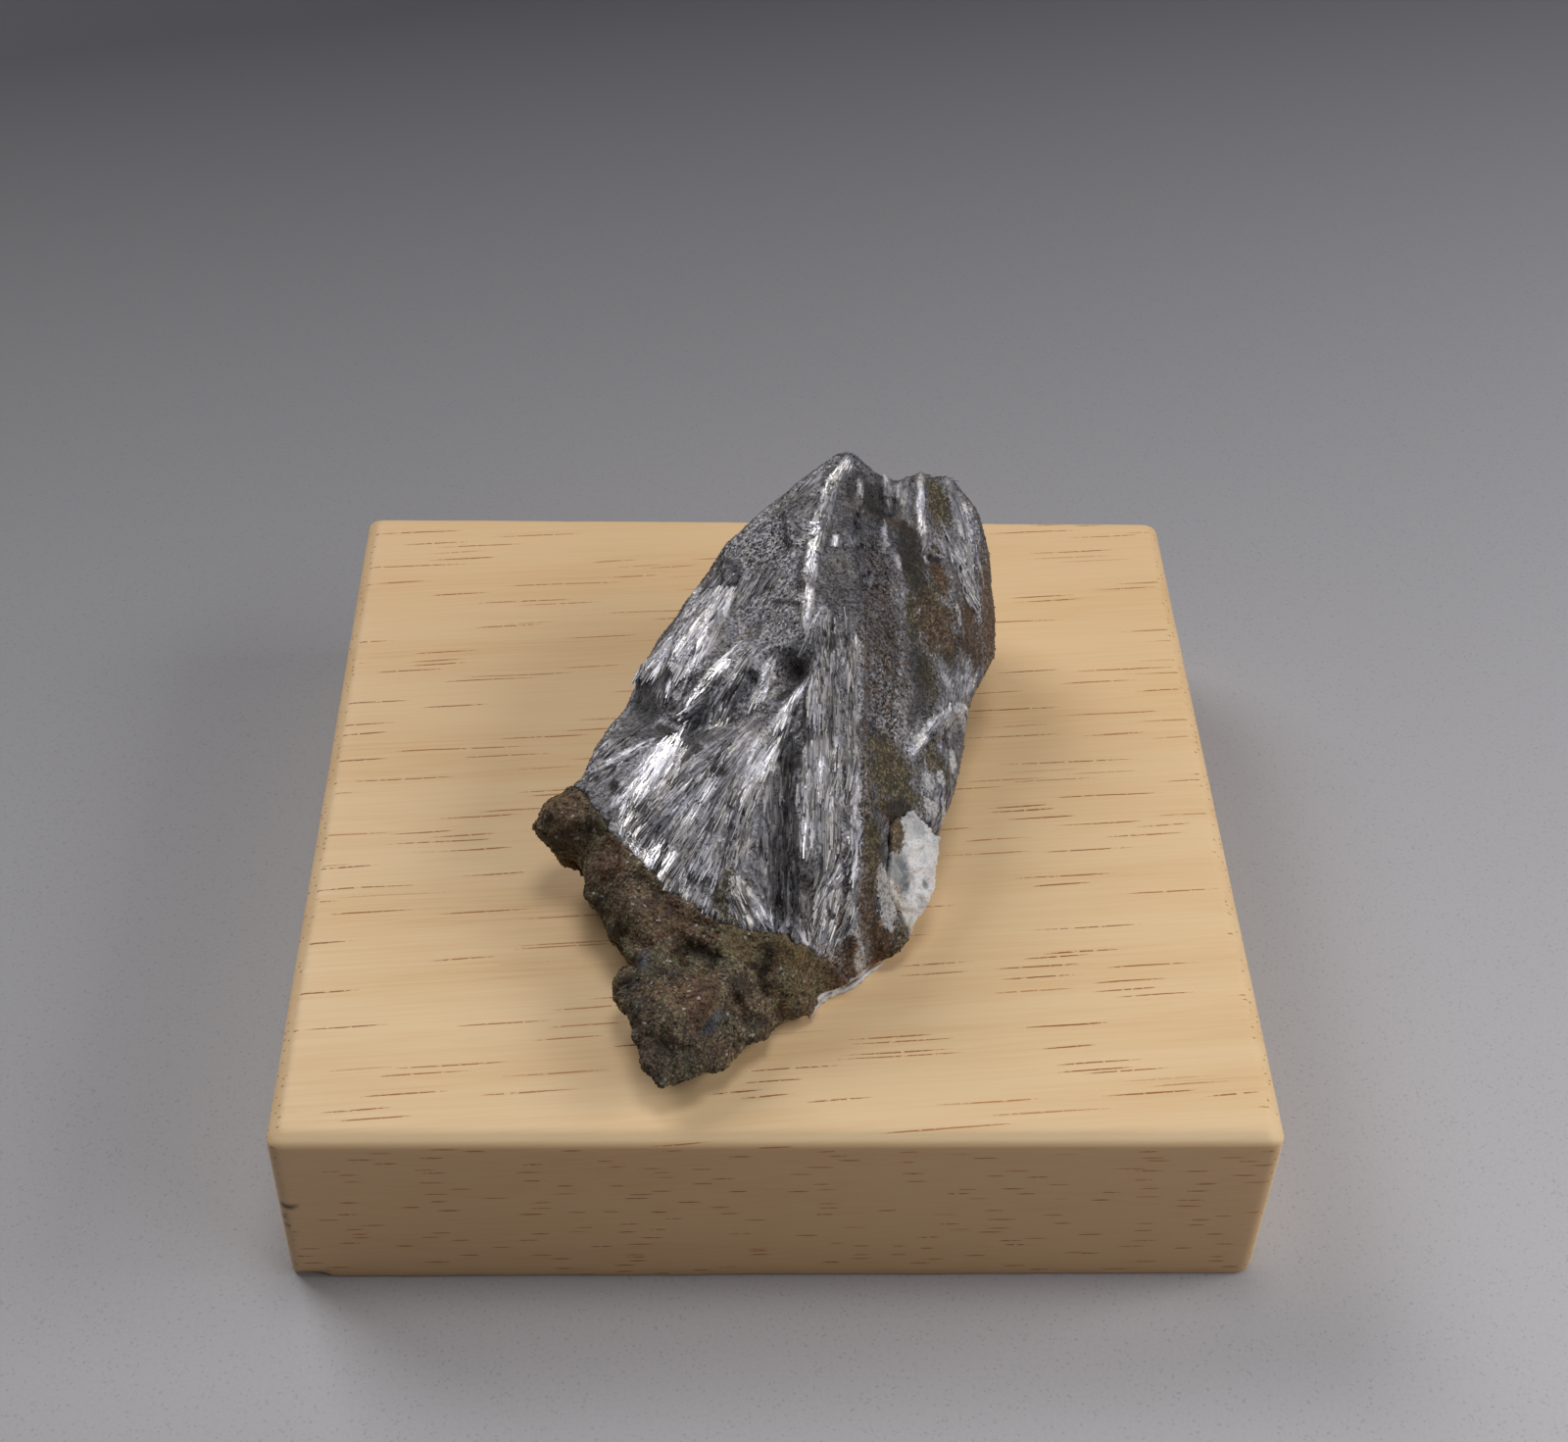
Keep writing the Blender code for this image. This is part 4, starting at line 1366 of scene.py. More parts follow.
@dataclass
class CrystalMass(StonePart):
    """The fibrous body of the specimen: its skin, slivers, needles and grit."""

    node: str = "cosalite_crystals"
    slot: str = "cosalite"
    voxel: float = 0.27
    swell: float = 0.05
    joint_swell: float = 0.2
    blade_height: float = 0.17
    blade_width: float = 0.85
    blade_length: float = 6.0
    lump_height: float = 0.16
    crumb_height: float = 0.13
    grit_height: float = 0.07
    splint_height: float = 0.06
    lift: float = 0.3
    mirror: tuple[float, float, float] = (-0.355, -0.150, 0.923)
    sheaves: tuple[Sheaf, ...] = (
        Sheaf("apex_blade", (7.2, 19.8), (5.4, 16.4), 0.8, 1.0, 0.7, 0.7, 1.2),
        Sheaf("apex_lower", (5.6, 16.8), (4.4, 12.4), 1.1, 1.8, 0.5, 0.8, 0.9),
        Sheaf("apex_right", (8.5, 18.9), (8.4, 17.0), 0.5, 0.7, 0.9, 0.5, 1.1),
        Sheaf("apex_needle", (11.3, 21.2), (11.7, 17.8), 0.6, 0.8, 0.75, 0.5, 0.9),
        Sheaf("brow", (3.6, 18.4), (-5.4, 10.6), 1.6, 2.2, 0.16, 0.5, 0.7),
        Sheaf("matte_face", (2.6, 15.6), (-2.6, 7.6), 4.6, 5.4, 0.14, 0.35, 0.55),
        Sheaf("pale_facet", (4.6, 12.4), (3.0, 10.0), 1.0, 1.3, 0.4, 1.0, 2.2),
        Sheaf("ledge", (-3.8, 13.2), (-2.8, 11.0), 0.35, 0.45, 0.5, 0.7, 0.8),
        Sheaf("ridge_upper", (4.5, 10.4), (3.2, 5.4), 0.8, 1.2, 0.7, 1.1, 1.9),
        Sheaf("ridge_lower", (3.3, 5.6), (2.9, -0.9), 0.9, 0.9, 0.6, 1.0, 1.0),
        Sheaf("ridge_foot", (4.5, 0.2), (2.9, -2.6), 0.5, 0.5, 0.6, 1.0, 0.8),
        Sheaf("sheaf_1_left", (-6.2, 8.8), (-12.2, -0.4), 1.7, 2.6, 0.62, 1.1, 0.9),
        Sheaf("sheaf_1_middle", (-4.9, 7.8), (-9.6, -0.8), 1.5, 2.6, 0.78, 1.1, 1.0),
        Sheaf("sheaf_1_right", (-3.8, 7.4), (-7.1, 0.4), 1.0, 1.8, 0.55, 0.9, 0.9),
        Sheaf("sheaf_2", (-4.0, -1.0), (-8.2, -5.4), 0.9, 1.5, 0.84, 1.2, 1.2),
        Sheaf("sheaf_2_flank", (-2.4, -2.6), (-7.0, -8.2), 1.6, 3.0, 0.36, 0.9, 0.8),
        Sheaf("sheaf_3", (-0.3, -3.5), (-1.7, -6.2), 0.8, 1.3, 0.95, 0.8, 1.0),
        Sheaf("sheaf_4_core", (-9.2, -8.8), (-12.9, -16.0), 1.8, 3.4, 1.0, 1.3, 1.1),
        Sheaf("sheaf_4_left", (-10.6, -9.6), (-14.4, -13.9), 1.1, 1.4, 0.8, 1.2, 0.9),
        Sheaf("sheaf_4_right", (-8.3, -11.0), (-10.9, -15.4), 1.0, 1.6, 0.6, 1.0, 0.8),
        Sheaf("sheaf_4_outer", (-12.0, -8.5), (-16.6, -10.9), 1.0, 1.7, 0.55, 0.9, 0.9),
        Sheaf("notch_band", (-12.4, -4.8), (-16.4, -8.6), 1.8, 2.2, 0.24, 0.9, 0.7),
        Sheaf("fan_head", (2.5, -6.2), (0.3, -10.2), 0.7, 1.9, 0.72, 0.9, 0.8),
        Sheaf("fan_bright", (0.4, -10.4), (-2.8, -15.2), 1.9, 3.0, 0.64, 1.2, 0.9),
        Sheaf("fan_blade", (0.3, -10.7), (-0.5, -12.0), 0.5, 0.4, 1.0, 0.8, 1.6),
        Sheaf("fan_outer", (-3.6, -9.6), (-11.6, -17.6), 2.4, 4.4, 0.4, 1.2, 0.8),
        Sheaf("fan_left", (-3.2, -11.4), (-10.2, -21.6), 2.2, 3.6, 0.46, 1.3, 0.8),
        Sheaf("fan_middle", (-2.8, -13.0), (-8.2, -23.6), 2.0, 3.0, 0.5, 1.3, 0.8),
        Sheaf("fan_inner", (-2.2, -15.0), (-5.2, -24.6), 1.6, 2.6, 0.42, 1.2, 0.8),
        Sheaf("patch_white", (-14.4, -16.6), (-12.4, -18.8), 1.5, 1.5, 0.95, 0.5, 1.0),
        Sheaf("patch_loop", (-11.2, -18.2), (-12.0, -20.4), 1.2, 1.0, 1.0, 0.6, 0.9),
        Sheaf("patch_spark", (-9.3, -20.0), (-10.3, -22.2), 0.9, 1.5, 1.0, 0.8, 1.3),
        Sheaf("patch_foot", (-8.3, -22.4), (-8.5, -24.4), 1.2, 1.4, 0.6, 0.8, 0.8),
        Sheaf("small_fan", (-4.0, -23.4), (-1.2, -28.6), 1.8, 3.0, 0.76, 1.0, 0.7),
        Sheaf("groove", (0.9, -12.6), (0.6, -27.0), 1.4, 1.8, 0.1, 0.9, 0.8),
        Sheaf("groove_streak", (0.5, -15.2), (0.4, -17.6), 0.3, 0.3, 0.8, 1.2, 0.8),
        Sheaf("groove_left", (-0.9, -15.0), (-0.9, -24.0), 1.0, 1.8, 0.26, 1.0, 0.7),
        Sheaf("column_left", (3.4, -8.6), (2.6, -20.5), 1.2, 1.6, 0.52, 1.3, 0.9),
        Sheaf("column_head", (4.6, -1.4), (4.6, -8.6), 2.2, 2.6, 0.32, 1.0, 0.8),
        Sheaf("column_middle", (4.9, -8.6), (4.6, -24.5), 1.6, 2.0, 0.45, 1.4, 0.9),
        Sheaf("column_right", (6.9, -2.4), (6.9, -22.4), 1.3, 1.3, 0.42, 1.4, 0.9),
        Sheaf("column_light_1", (3.8, -14.4), (3.6, -17.4), 0.9, 0.7, 0.9, 0.9, 1.0),
        Sheaf("column_light_2", (4.9, -10.4), (4.9, -13.2), 0.4, 0.5, 0.9, 0.8, 0.9),
        Sheaf("column_light_3", (2.1, -17.2), (2.3, -20.8), 0.5, 0.6, 0.85, 0.9, 0.9),
        Sheaf("column_light_4", (5.5, -14.4), (4.8, -17.8), 0.35, 0.35, 0.82, 1.3, 0.9),
        Sheaf("column_light_5", (6.5, -20.0), (6.5, -22.2), 0.4, 0.4, 1.0, 1.1, 1.2),
        Sheaf("column_light_6", (5.1, -22.8), (4.4, -23.9), 0.7, 0.5, 0.95, 0.7, 1.0),
        Sheaf("foot_light_1", (3.5, -24.2), (3.4, -27.4), 0.5, 0.5, 0.7, 0.9, 0.9),
        Sheaf("foot_light_2", (5.2, -23.7), (4.9, -25.4), 0.7, 0.6, 0.7, 0.8, 0.9),
        Sheaf("foot_grey", (2.6, -25.6), (3.6, -29.0), 1.8, 3.0, 0.42, 0.7, 0.8),
        Sheaf("flank_upper", (9.4, 14.0), (9.6, 2.0), 4.0, 3.6, 0.12, 0.4, 0.55),
        Sheaf("flank_lower", (10.0, 2.0), (9.2, -20.0), 3.4, 1.6, 0.08, 0.35, 0.5),
        Sheaf("shoulder_1", (13.2, 20.8), (12.7, 15.0), 1.1, 1.4, 0.5, 0.5, 0.8),
        Sheaf("shoulder_2", (15.1, 21.8), (14.7, 14.6), 0.8, 0.6, 0.6, 0.55, 1.0),
        Sheaf("silver_edge", (17.9, 22.2), (20.3, 15.5), 0.9, 2.2, 0.62, 0.6, 0.9),
        Sheaf("silver_outer", (20.2, 17.0), (20.8, 13.0), 1.2, 1.0, 0.3, 1.0, 0.8),
        Sheaf("silver_inner", (17.0, 16.8), (19.8, 12.4), 0.7, 1.3, 0.72, 1.1, 0.9),
        Sheaf("silver_low", (18.9, 12.2), (20.2, 9.4), 0.8, 0.8, 0.22, 0.9, 0.8),
        Sheaf("silver_sliver", (17.9, 10.0), (18.6, 8.4), 0.4, 0.3, 0.6, 0.9, 1.0),
        Sheaf("recess_streak", (10.9, 13.7), (10.9, 10.8), 0.4, 0.4, 0.4, 0.8, 0.9),
        Sheaf("recess_tip", (12.1, 10.2), (12.2, 8.4), 0.4, 0.5, 0.3, 0.8, 0.8),
        Sheaf("wing_upper", (19.2, 5.4), (16.4, -1.6), 1.6, 1.5, 0.4, 0.9, 0.8),
        Sheaf("wing_bright", (16.8, -2.8), (13.3, -7.5), 0.5, 0.7, 0.6, 1.0, 1.1),
        Sheaf("wing_lower", (17.0, -4.0), (15.2, -12.6), 1.4, 1.8, 0.28, 0.5, 0.9),
    )
    patches: tuple[Patch, ...] = patches_of({
        Stain.DULL: (
            (0.0, 12.0, 3.6, 4.6, 1.0, -25), (10.5, -1.0, 3.0, 17.0, 0.9),
            (14.5, 4.5, 2.4, 10.0, 0.8),
        ),
        Stain.SMOOTH: (
            (0.0, 12.0, 3.2, 4.4, 0.55, -25), (21.9, 12.6, 1.1, 7.0),
            (-12.5, -2.3, 1.7, 2.2, 1.0, -20), (-16.2, -13.2, 2.6, 2.6, 1.0, 20),
        ),
        Stain.RUST: (
            (10.4, 0.0, 2.8, 11.0, 0.36), (8.4, -5.7, 0.5, 6.0, 0.4), (8.2, -15.0, 0.7, 8.0, 0.5),
            (9.3, 15.9, 1.3, 1.1, 0.5), (13.1, 13.9, 0.8, 0.9, 0.9), (11.9, 14.6, 1.4, 1.6, 0.6),
            (16.2, 11.2, 1.4, 2.4, 1.0, 10), (15.6, 6.8, 2.6, 2.8), (19.6, 9.0, 1.4, 3.8, 0.8),
            (10.4, -11.0, 2.4, 1.4, 0.5), (10.6, -15.6, 1.2, 1.2, 0.8), (8.2, -22.6, 0.9, 1.6, 0.7),
            (10.0, -24.0, 1.7, 1.6), (7.6, -26.0, 1.8, 1.0, 0.8), (22.0, 12.6, 1.3, 7.6, 0.8),
            (-2.4, -28.2, 1.6, 1.2, 0.8), (-4.0, -25.8, 1.2, 1.6, 0.5), (6.0, -27.0, 2.0, 1.6, 0.6),
        ),
        Stain.OLIVE: (
            (16.6, 19.6, 1.4, 3.1, 1.0, 6), (13.6, 10.4, 1.4, 2.8, 0.8),
            (16.2, 14.1, 0.8, 0.4, 0.7), (15.7, 8.0, 2.2, 4.4, 0.48), (13.3, 5.4, 0.9, 3.0, 0.85),
            (14.6, 0.5, 1.2, 3.8, 0.8), (16.2, 1.1, 1.1, 1.7, 0.3), (10.8, -12.4, 2.7, 3.2),
            (15.3, -7.7, 1.6, 1.6, 0.75), (8.6, -19.4, 1.0, 3.4, 0.95),
            (11.6, -23.2, 1.1, 1.2, 0.9), (-4.3, -23.3, 0.8, 1.4, 0.8, 10),
            (-4.9, -24.6, 1.1, 2.0, 0.7, 15),
        ),
        # painted shade in creases and on shadowed faces, and dark seams
        Stain.SEAMS_AND_PAINTED_SHADE: (
            (10.4, 17.2, 3.4, 2.6, 1.0, -25), (13.2, 12.0, 2.2, 3.8, 0.95),
            (14.2, 1.6, 1.3, 1.6, 0.8), (19.1, 6.9, 1.5, 1.8, 0.45), (14.0, 8.6, 1.0, 1.4, 0.7),
            (17.4, 4.6, 1.6, 0.6, 0.6, 20), (13.7, -0.8, 1.0, 4.8, 0.8, 4),
            (-12.5, -2.3, 1.5, 2.0, 0.6, -20), (-16.2, -13.2, 2.6, 2.6, 0.35, 20),
            (2.1, -4.4, 1.1, 0.7, 0.8), (-8.6, -8.6, 3.4, 0.9, 0.6, -18),
            (-8.0, -6.6, 1.9, 1.1, 0.5, -35), (0.9, -19.0, 1.2, 7.0, 0.45),
        ),
        Stain.MILK: (
            (14.5, -9.9, 0.6, 0.8), (14.6, -12.0, 0.6, 0.6), (15.7, -8.9, 0.4, 0.7),
            (16.0, -11.6, 0.4, 1.0), (13.6, -14.2, 1.0, 0.9), (17.0, -6.3, 0.4, 1.1, 0.9),
            (7.4, -25.2, 0.9, 1.1, 0.5, 20), (10.2, -21.3, 1.0, 1.8, 1.0, -10),
            (12.6, -14.6, 0.9, 0.7, 1.0, 30),
        ),
    })
    streaks: tuple[Streak, ...] = tuple(
        Streak(*row)
        for row in (
            (-7.4, 11.4, -11.0, 0.7, 0.63, 0.5), (-5.5, 8.6, -7.3, 0.1, 0.53, 0.75),
            (-7.3, 0.1, -9.3, -3.1, 0.42, 0.65), (-9.2, 3.9, -10.8, -0.6, 0.73, 0.5),
            (-8.2, 4.1, -8.0, 0.8, 0.73, 0.5), (-4.0, 8.2, -4.8, 4.6, 0.26, 0.7),
            (-9.2, -2.2, -9.6, -2.6, 0.32, 1), (-4.8, -2.3, -8.1, -4.9, 0.5, 1),
            (-4.9, -2.3, -9.3, -4.3, 0.42, 0.5), (-3.6, -4.0, -5.8, -5.0, 0.32, 0.45),
            (-4.6, -7.1, -5.5, -7.3, 0.21, 0.8), (-0.4, -3.9, -1.0, -4.4, 0.32, 0.8),
            (-0.3, -4.7, -1.4, -5.7, 0.37, 0.85), (2.3, -6.8, 0.4, -9.0, 0.42, 0.74),
            (1.6, -8.0, -1.6, -11.0, 0.53, 0.5), (0.1, -10.5, -0.6, -12.2, 0.32, 0.9),
            (-0.9, -12.6, -1.2, -14.1, 0.3, 0.75), (-1.3, -11.0, -2.6, -15.1, 0.73, 0.65),
            (-2.8, -15.5, -3.2, -16.4, 0.21, 0.9), (-10.0, -9.3, -13.0, -15.2, 1.05, 1),
            (-8.9, -10.8, -11.9, -15.8, 0.53, 0.75), (-11.2, -9.6, -14.4, -14.0, 0.42, 0.7),
            (-12.4, -8.8, -16.1, -9.3, 0.42, 0.55), (-8.1, -14.0, -8.7, -14.2, 0.21, 0.9),
            (-13.6, -17.4, -12.3, -19.1, 0.95, 1), (-10.7, -19.0, -11.8, -20.4, 0.6, 1),
            (-9.5, -20.3, -10.4, -21.8, 0.53, 1), (-8.7, -22.6, -8.0, -23.9, 0.63, 0.6),
            (-6.5, -15.1, -7.2, -17.1, 0.32, 0.55), (-4.7, -15.1, -6.3, -18.8, 0.26, 0.4),
            (-7.8, -15.2, -8.3, -17.8, 0.37, 0.45), (-5.7, -18.9, -8.2, -23.0, 0.32, 0.4),
            (7.3, 19.9, 5.2, 16.7, 0.42, 0.8), (5.0, 16.6, 4.6, 14.1, 0.32, 0.5),
            (8.5, 18.8, 8.6, 17.6, 0.26, 0.9), (11.3, 21.0, 11.4, 18.6, 0.25, 0.75),
            (4.2, 11.8, 3.8, 10.1, 0.26, 1), (3.6, 9.0, 3.2, 4.9, 0.4, 1),
            (3.3, 3.7, 3.0, -0.4, 0.3, 0.85), (5.9, 10.6, 5.8, 9.3, 0.26, 1),
            (7.4, -2.9, 7.5, -3.6, 0.21, 1), (15.0, 21.4, 14.5, 14.8, 0.3, 0.85),
            (18.6, 21.4, 19.8, 18.5, 0.5, 0.5), (19.4, 20.8, 20.0, 17.2, 0.32, 0.5),
            (19.6, 18.3, 19.6, 18.3, 0.21, 0.9), (17.4, 16.7, 19.8, 13.4, 0.4, 0.55),
            (17.9, 9.7, 18.5, 8.7, 0.2, 0.7), (10.9, 13.4, 11.0, 11.2, 0.26, 0.65),
            (11.9, 9.9, 12.2, 9.2, 0.24, 0.6), (15.0, 13.0, 15.3, 12.1, 0.21, 0.7),
            (3.3, -12.8, 3.4, -15.5, 0.42, 0.6), (2.3, -16.2, 2.3, -22.2, 0.37, 0.6),
            (5.0, -15.5, 4.8, -17.9, 0.20, 0.9), (7.2, -15.1, 7.4, -16.4, 0.20, 0.9),
            (7.1, -17.5, 6.8, -22.8, 0.20, 0.65), (6.4, -20.2, 6.5, -22.1, 0.20, 0.95),
            (5.1, -21.8, 5.4, -22.6, 0.37, 0.55), (5.1, -22.9, 4.1, -23.9, 0.37, 0.65),
            (4.5, -24.3, 4.3, -25.7, 0.26, 0.6), (2.8, -27.5, 3.2, -27.5, 0.53, 0.45),
            (3.7, -27.6, 6.1, -25.8, 0.53, 0.5), (13.2, -7.7, 18.9, 1.7, 0.32, 0.9),
            (16.8, 2.5, 18.5, -0.7, 0.63, 0.5), (18.2, 4.2, 18.6, 2.4, 0.32, 0.5),
            (-3.5, -24.7, -1.9, -27.1, 0.84, 0.45), (-12.4, -1.0, -11.9, -3.7, 1.05, -0.8),
            (-11.0, -5.3, -7.2, -10.9, 0.42, -0.85), (-8.3, -11.4, -7.2, -10.7, 0.42, -0.9),
            (-11.1, -16.1, -14.2, -16.6, 0.21, -0.8), (-0.2, -2.8, 2.7, -5.0, 0.42, -0.6),
            (2.7, -5.0, 0.5, -6.9, 0.42, -0.9), (2.8, -6.9, 2.4, -10.3, 0.20, -0.8),
            (2.3, -10.6, 1.3, -11.1, 0.21, -0.8), (1.7, -12.3, 1.5, -13.6, 0.53, -0.8),
            (0.5, -15.2, 0.4, -25.6, 1.05, -0.5), (2.2, -16.1, 1.6, -25.7, 0.20, -0.8),
            (5.2, -7.3, 4.9, -12.5, 0.20, -0.7), (2.9, -23.0, 2.5, -25.7, 0.53, -0.6),
            (5.4, -3.1, 5.2, -4.0, 0.32, -0.9), (6.5, -2.3, 6.6, -3.6, 0.26, -0.9),
            (15.4, 13.2, 16.3, 13.3, 0.37, -1), (12.7, 11.6, 13.3, 7.9, 0.63, -0.7),
            (11.4, 18.6, 11.8, 11.2, 0.53, -0.6), (8.0, 17.1, 11.2, 17.4, 0.42, -0.5),
            (-0.1, 3.6, 2.2, 1.4, 0.20, -0.9), (-6.5, -0.8, -4.3, -1.3, 0.32, -0.5),
            (13.7, -1.9, 12.6, -6.3, 0.42, -0.7), (12.1, -13.7, 10.3, -15.5, 0.42, -0.9),
            (-8.4, -1.8, -11.0, -3.1, 0.21, -0.5),
        )
    )

    def dress(self, nodes: dict[str, bpy.types.Object]) -> list[bpy.types.Object]:
        """Builds the skin and what is strewn on it.

        Args:
            nodes: the CAD nodes by name.

        Returns:
            The pieces; the first one stands for the CAD node.
        """
        skin, apart = self.skin("cosalite_skin", nodes, 2.5)
        field_ = FibreField(self.sheaves)
        field_.read(skin.points)
        stains = self.stains(skin.points, Relief.cloud(skin.points, 1.1, 5, 3))
        fray = Relief.cloud(field_.lay * (0.6, 1.0, 1.0), 0.45, 45, 2)
        # bright streaks paint highlights, dark ones paint shade in seams and creases
        for sign, kind in ((1, Stain.GLARE), (-1, Stain.SEAMS_AND_PAINTED_SHADE)):
            for streak in (s for s in self.streaks if s.strength * sign > 0):
                stains[kind] = np.maximum(stains[kind], streak.share(skin.points, fray))
        self._press(skin, field_, stains, apart)
        self._carry(skin, field_, stains, apart)
        finish = CrystalFinish().material()
        pieces = [
            scatter.over(skin, finish)
            for scatter in (
                Scatter("cosalite_slivers", Shape.SLIVER, 8.0, 2.1, 0.17, 0.06, 6.0, 11),
                Scatter("cosalite_needles", Shape.SLIVER, 8.0, 1.1, 0.12, 0.06, 8.0, 12),
                Scatter("cosalite_grit", Shape.CHIP, 7.0, 0.26, 0.22, 0.18, 30.0, 13, "grit"),
            )
        ]
        return [skin.piece(finish), *pieces]

    def _press(
        self, skin: Skin, field_: FibreField, stains: dict[Stain, np.ndarray], apart: np.ndarray
    ) -> None:
        """Presses the long blades and the rough ground into the skin and lifts the sheaves."""
        step = self.blade_width / self.blade_length / LAY_STRETCH
        blades = Relief.facets(field_.lay * (step, 1.0, 1.0), self.blade_width, 21, 0.9)
        splints = Relief.facets(field_.lay * (2.0, 1.0, 1.0), 0.5, 22, 0.9)
        lumps = Relief.facets(skin.points, 1.3, 23, 0.8)
        crumbs = Relief.facets(skin.points, 0.62, 24, 0.9)
        grit = Relief.cloud(skin.points, 0.6, 25, 2)
        fibrous = (0.35 + 0.65 * field_.inside) * (1 - 0.8 * stains[Stain.DULL])
        rough = 0.35 + 0.65 * np.maximum(stains[Stain.RUST], stains[Stain.OLIVE])
        ground = self.lump_height * lumps + self.crumb_height * crumbs + self.grit_height * grit
        height = (1 - 0.85 * stains[Stain.SMOOTH]) * (
            fibrous * (self.blade_height * blades + self.splint_height * splints)
            + (1 - 0.8 * fibrous) * rough * ground
            + self.lift * field_.inside * (field_.values["shine"] - 0.25).clip(-0.2, 0.4)
        )
        height = self.swell + height + self.joint_swell * self.joint(apart)
        skin.push(height * skin.clear_of(WOOD_TOP))
        skin.rest_on(WOOD_TOP)

    def _carry(
        self, skin: Skin, field_: FibreField, stains: dict[Stain, np.ndarray], apart: np.ndarray
    ) -> None:
        """Stores on the skin what its material and the scatters read."""
        streak = Relief.cloud(field_.lay * (0.8, 1.0, 1.0), 0.7, 41, 2)
        clump = Relief.cloud(skin.points, 1.6, 42, 2)
        # the painted highlights of the bright streaks raise the shine
        glare = stains[Stain.GLARE]
        shine = (field_.values["shine"] * 0.75 * (1 + 0.3 * streak + 0.2 * clump)).clip(0, 1)
        shine = np.maximum(shine, glare)
        # painted shade in the skin's hollows, joined to the dark seams and creases of the patches
        # and streaks
        deep = smooth(0.03, 0.28, skin.hollows(12))
        gloom = np.maximum(stains[Stain.SEAMS_AND_PAINTED_SHADE], 0.32 * deep * (1 - 0.6 * shine)) * (1 - 0.8 * glare)
        proud = 1 - 0.6 * field_.inside * (shine > 0.4)
        rust, olive = stains[Stain.RUST] * proud, stains[Stain.OLIVE] * proud
        crusted = np.maximum(np.maximum(rust, olive), stains[Stain.MILK]).clip(0, 1)
        fibrous = ((0.3 + 0.7 * field_.inside) * (1 - stains[Stain.DULL])).clip(0, 1)
        tilted = np.array(self.mirror)
        share = (shine * 0.9 * smooth(-0.2, 0.45, skin.normals @ tilted))[:, None]
        seen = 0.25 + 0.75 * smooth(-0.75, -0.1, skin.normals[:, 2])
        bare = (1 - 0.8 * crusted) * (1 - stains[Stain.SMOOTH])
        short = (0.35 + 0.65 * smooth(0.1, 2.0, apart)) * (1 - 0.3 * glare)
        rim = smooth(17.5, 20.5, skin.points[:, 1])
        skin.carry(
            shine=shine,
            shade=0.5 + 0.5 * Relief.cloud(field_.lay * (1.2, 1, 1), 0.4, 43, 2),
            fibrous=fibrous,
            milk=stains[Stain.MILK],
            rust=rust,
            olive=olive,
            gloom=gloom.clip(0, 1),
            lay=field_.lay * MM,
            fibre=field_.tangent(skin.normals),
            facing=unit(skin.normals * (1 - share) + tilted * share),
            crowd=fibrous * (0.2 + 0.8 * smooth(0.1, 0.6, shine)) * bare * seen,
            grit=(0.25 + 0.75 * (1 - fibrous)) * (1 - 0.9 * stains[Stain.SMOOTH]) * seen,
            reach=field_.values["reach"] * short,
            girth=field_.values["girth"],
            loose=(1.3 - 0.6 * field_.inside) * (1 + 2.2 * rim),
        )


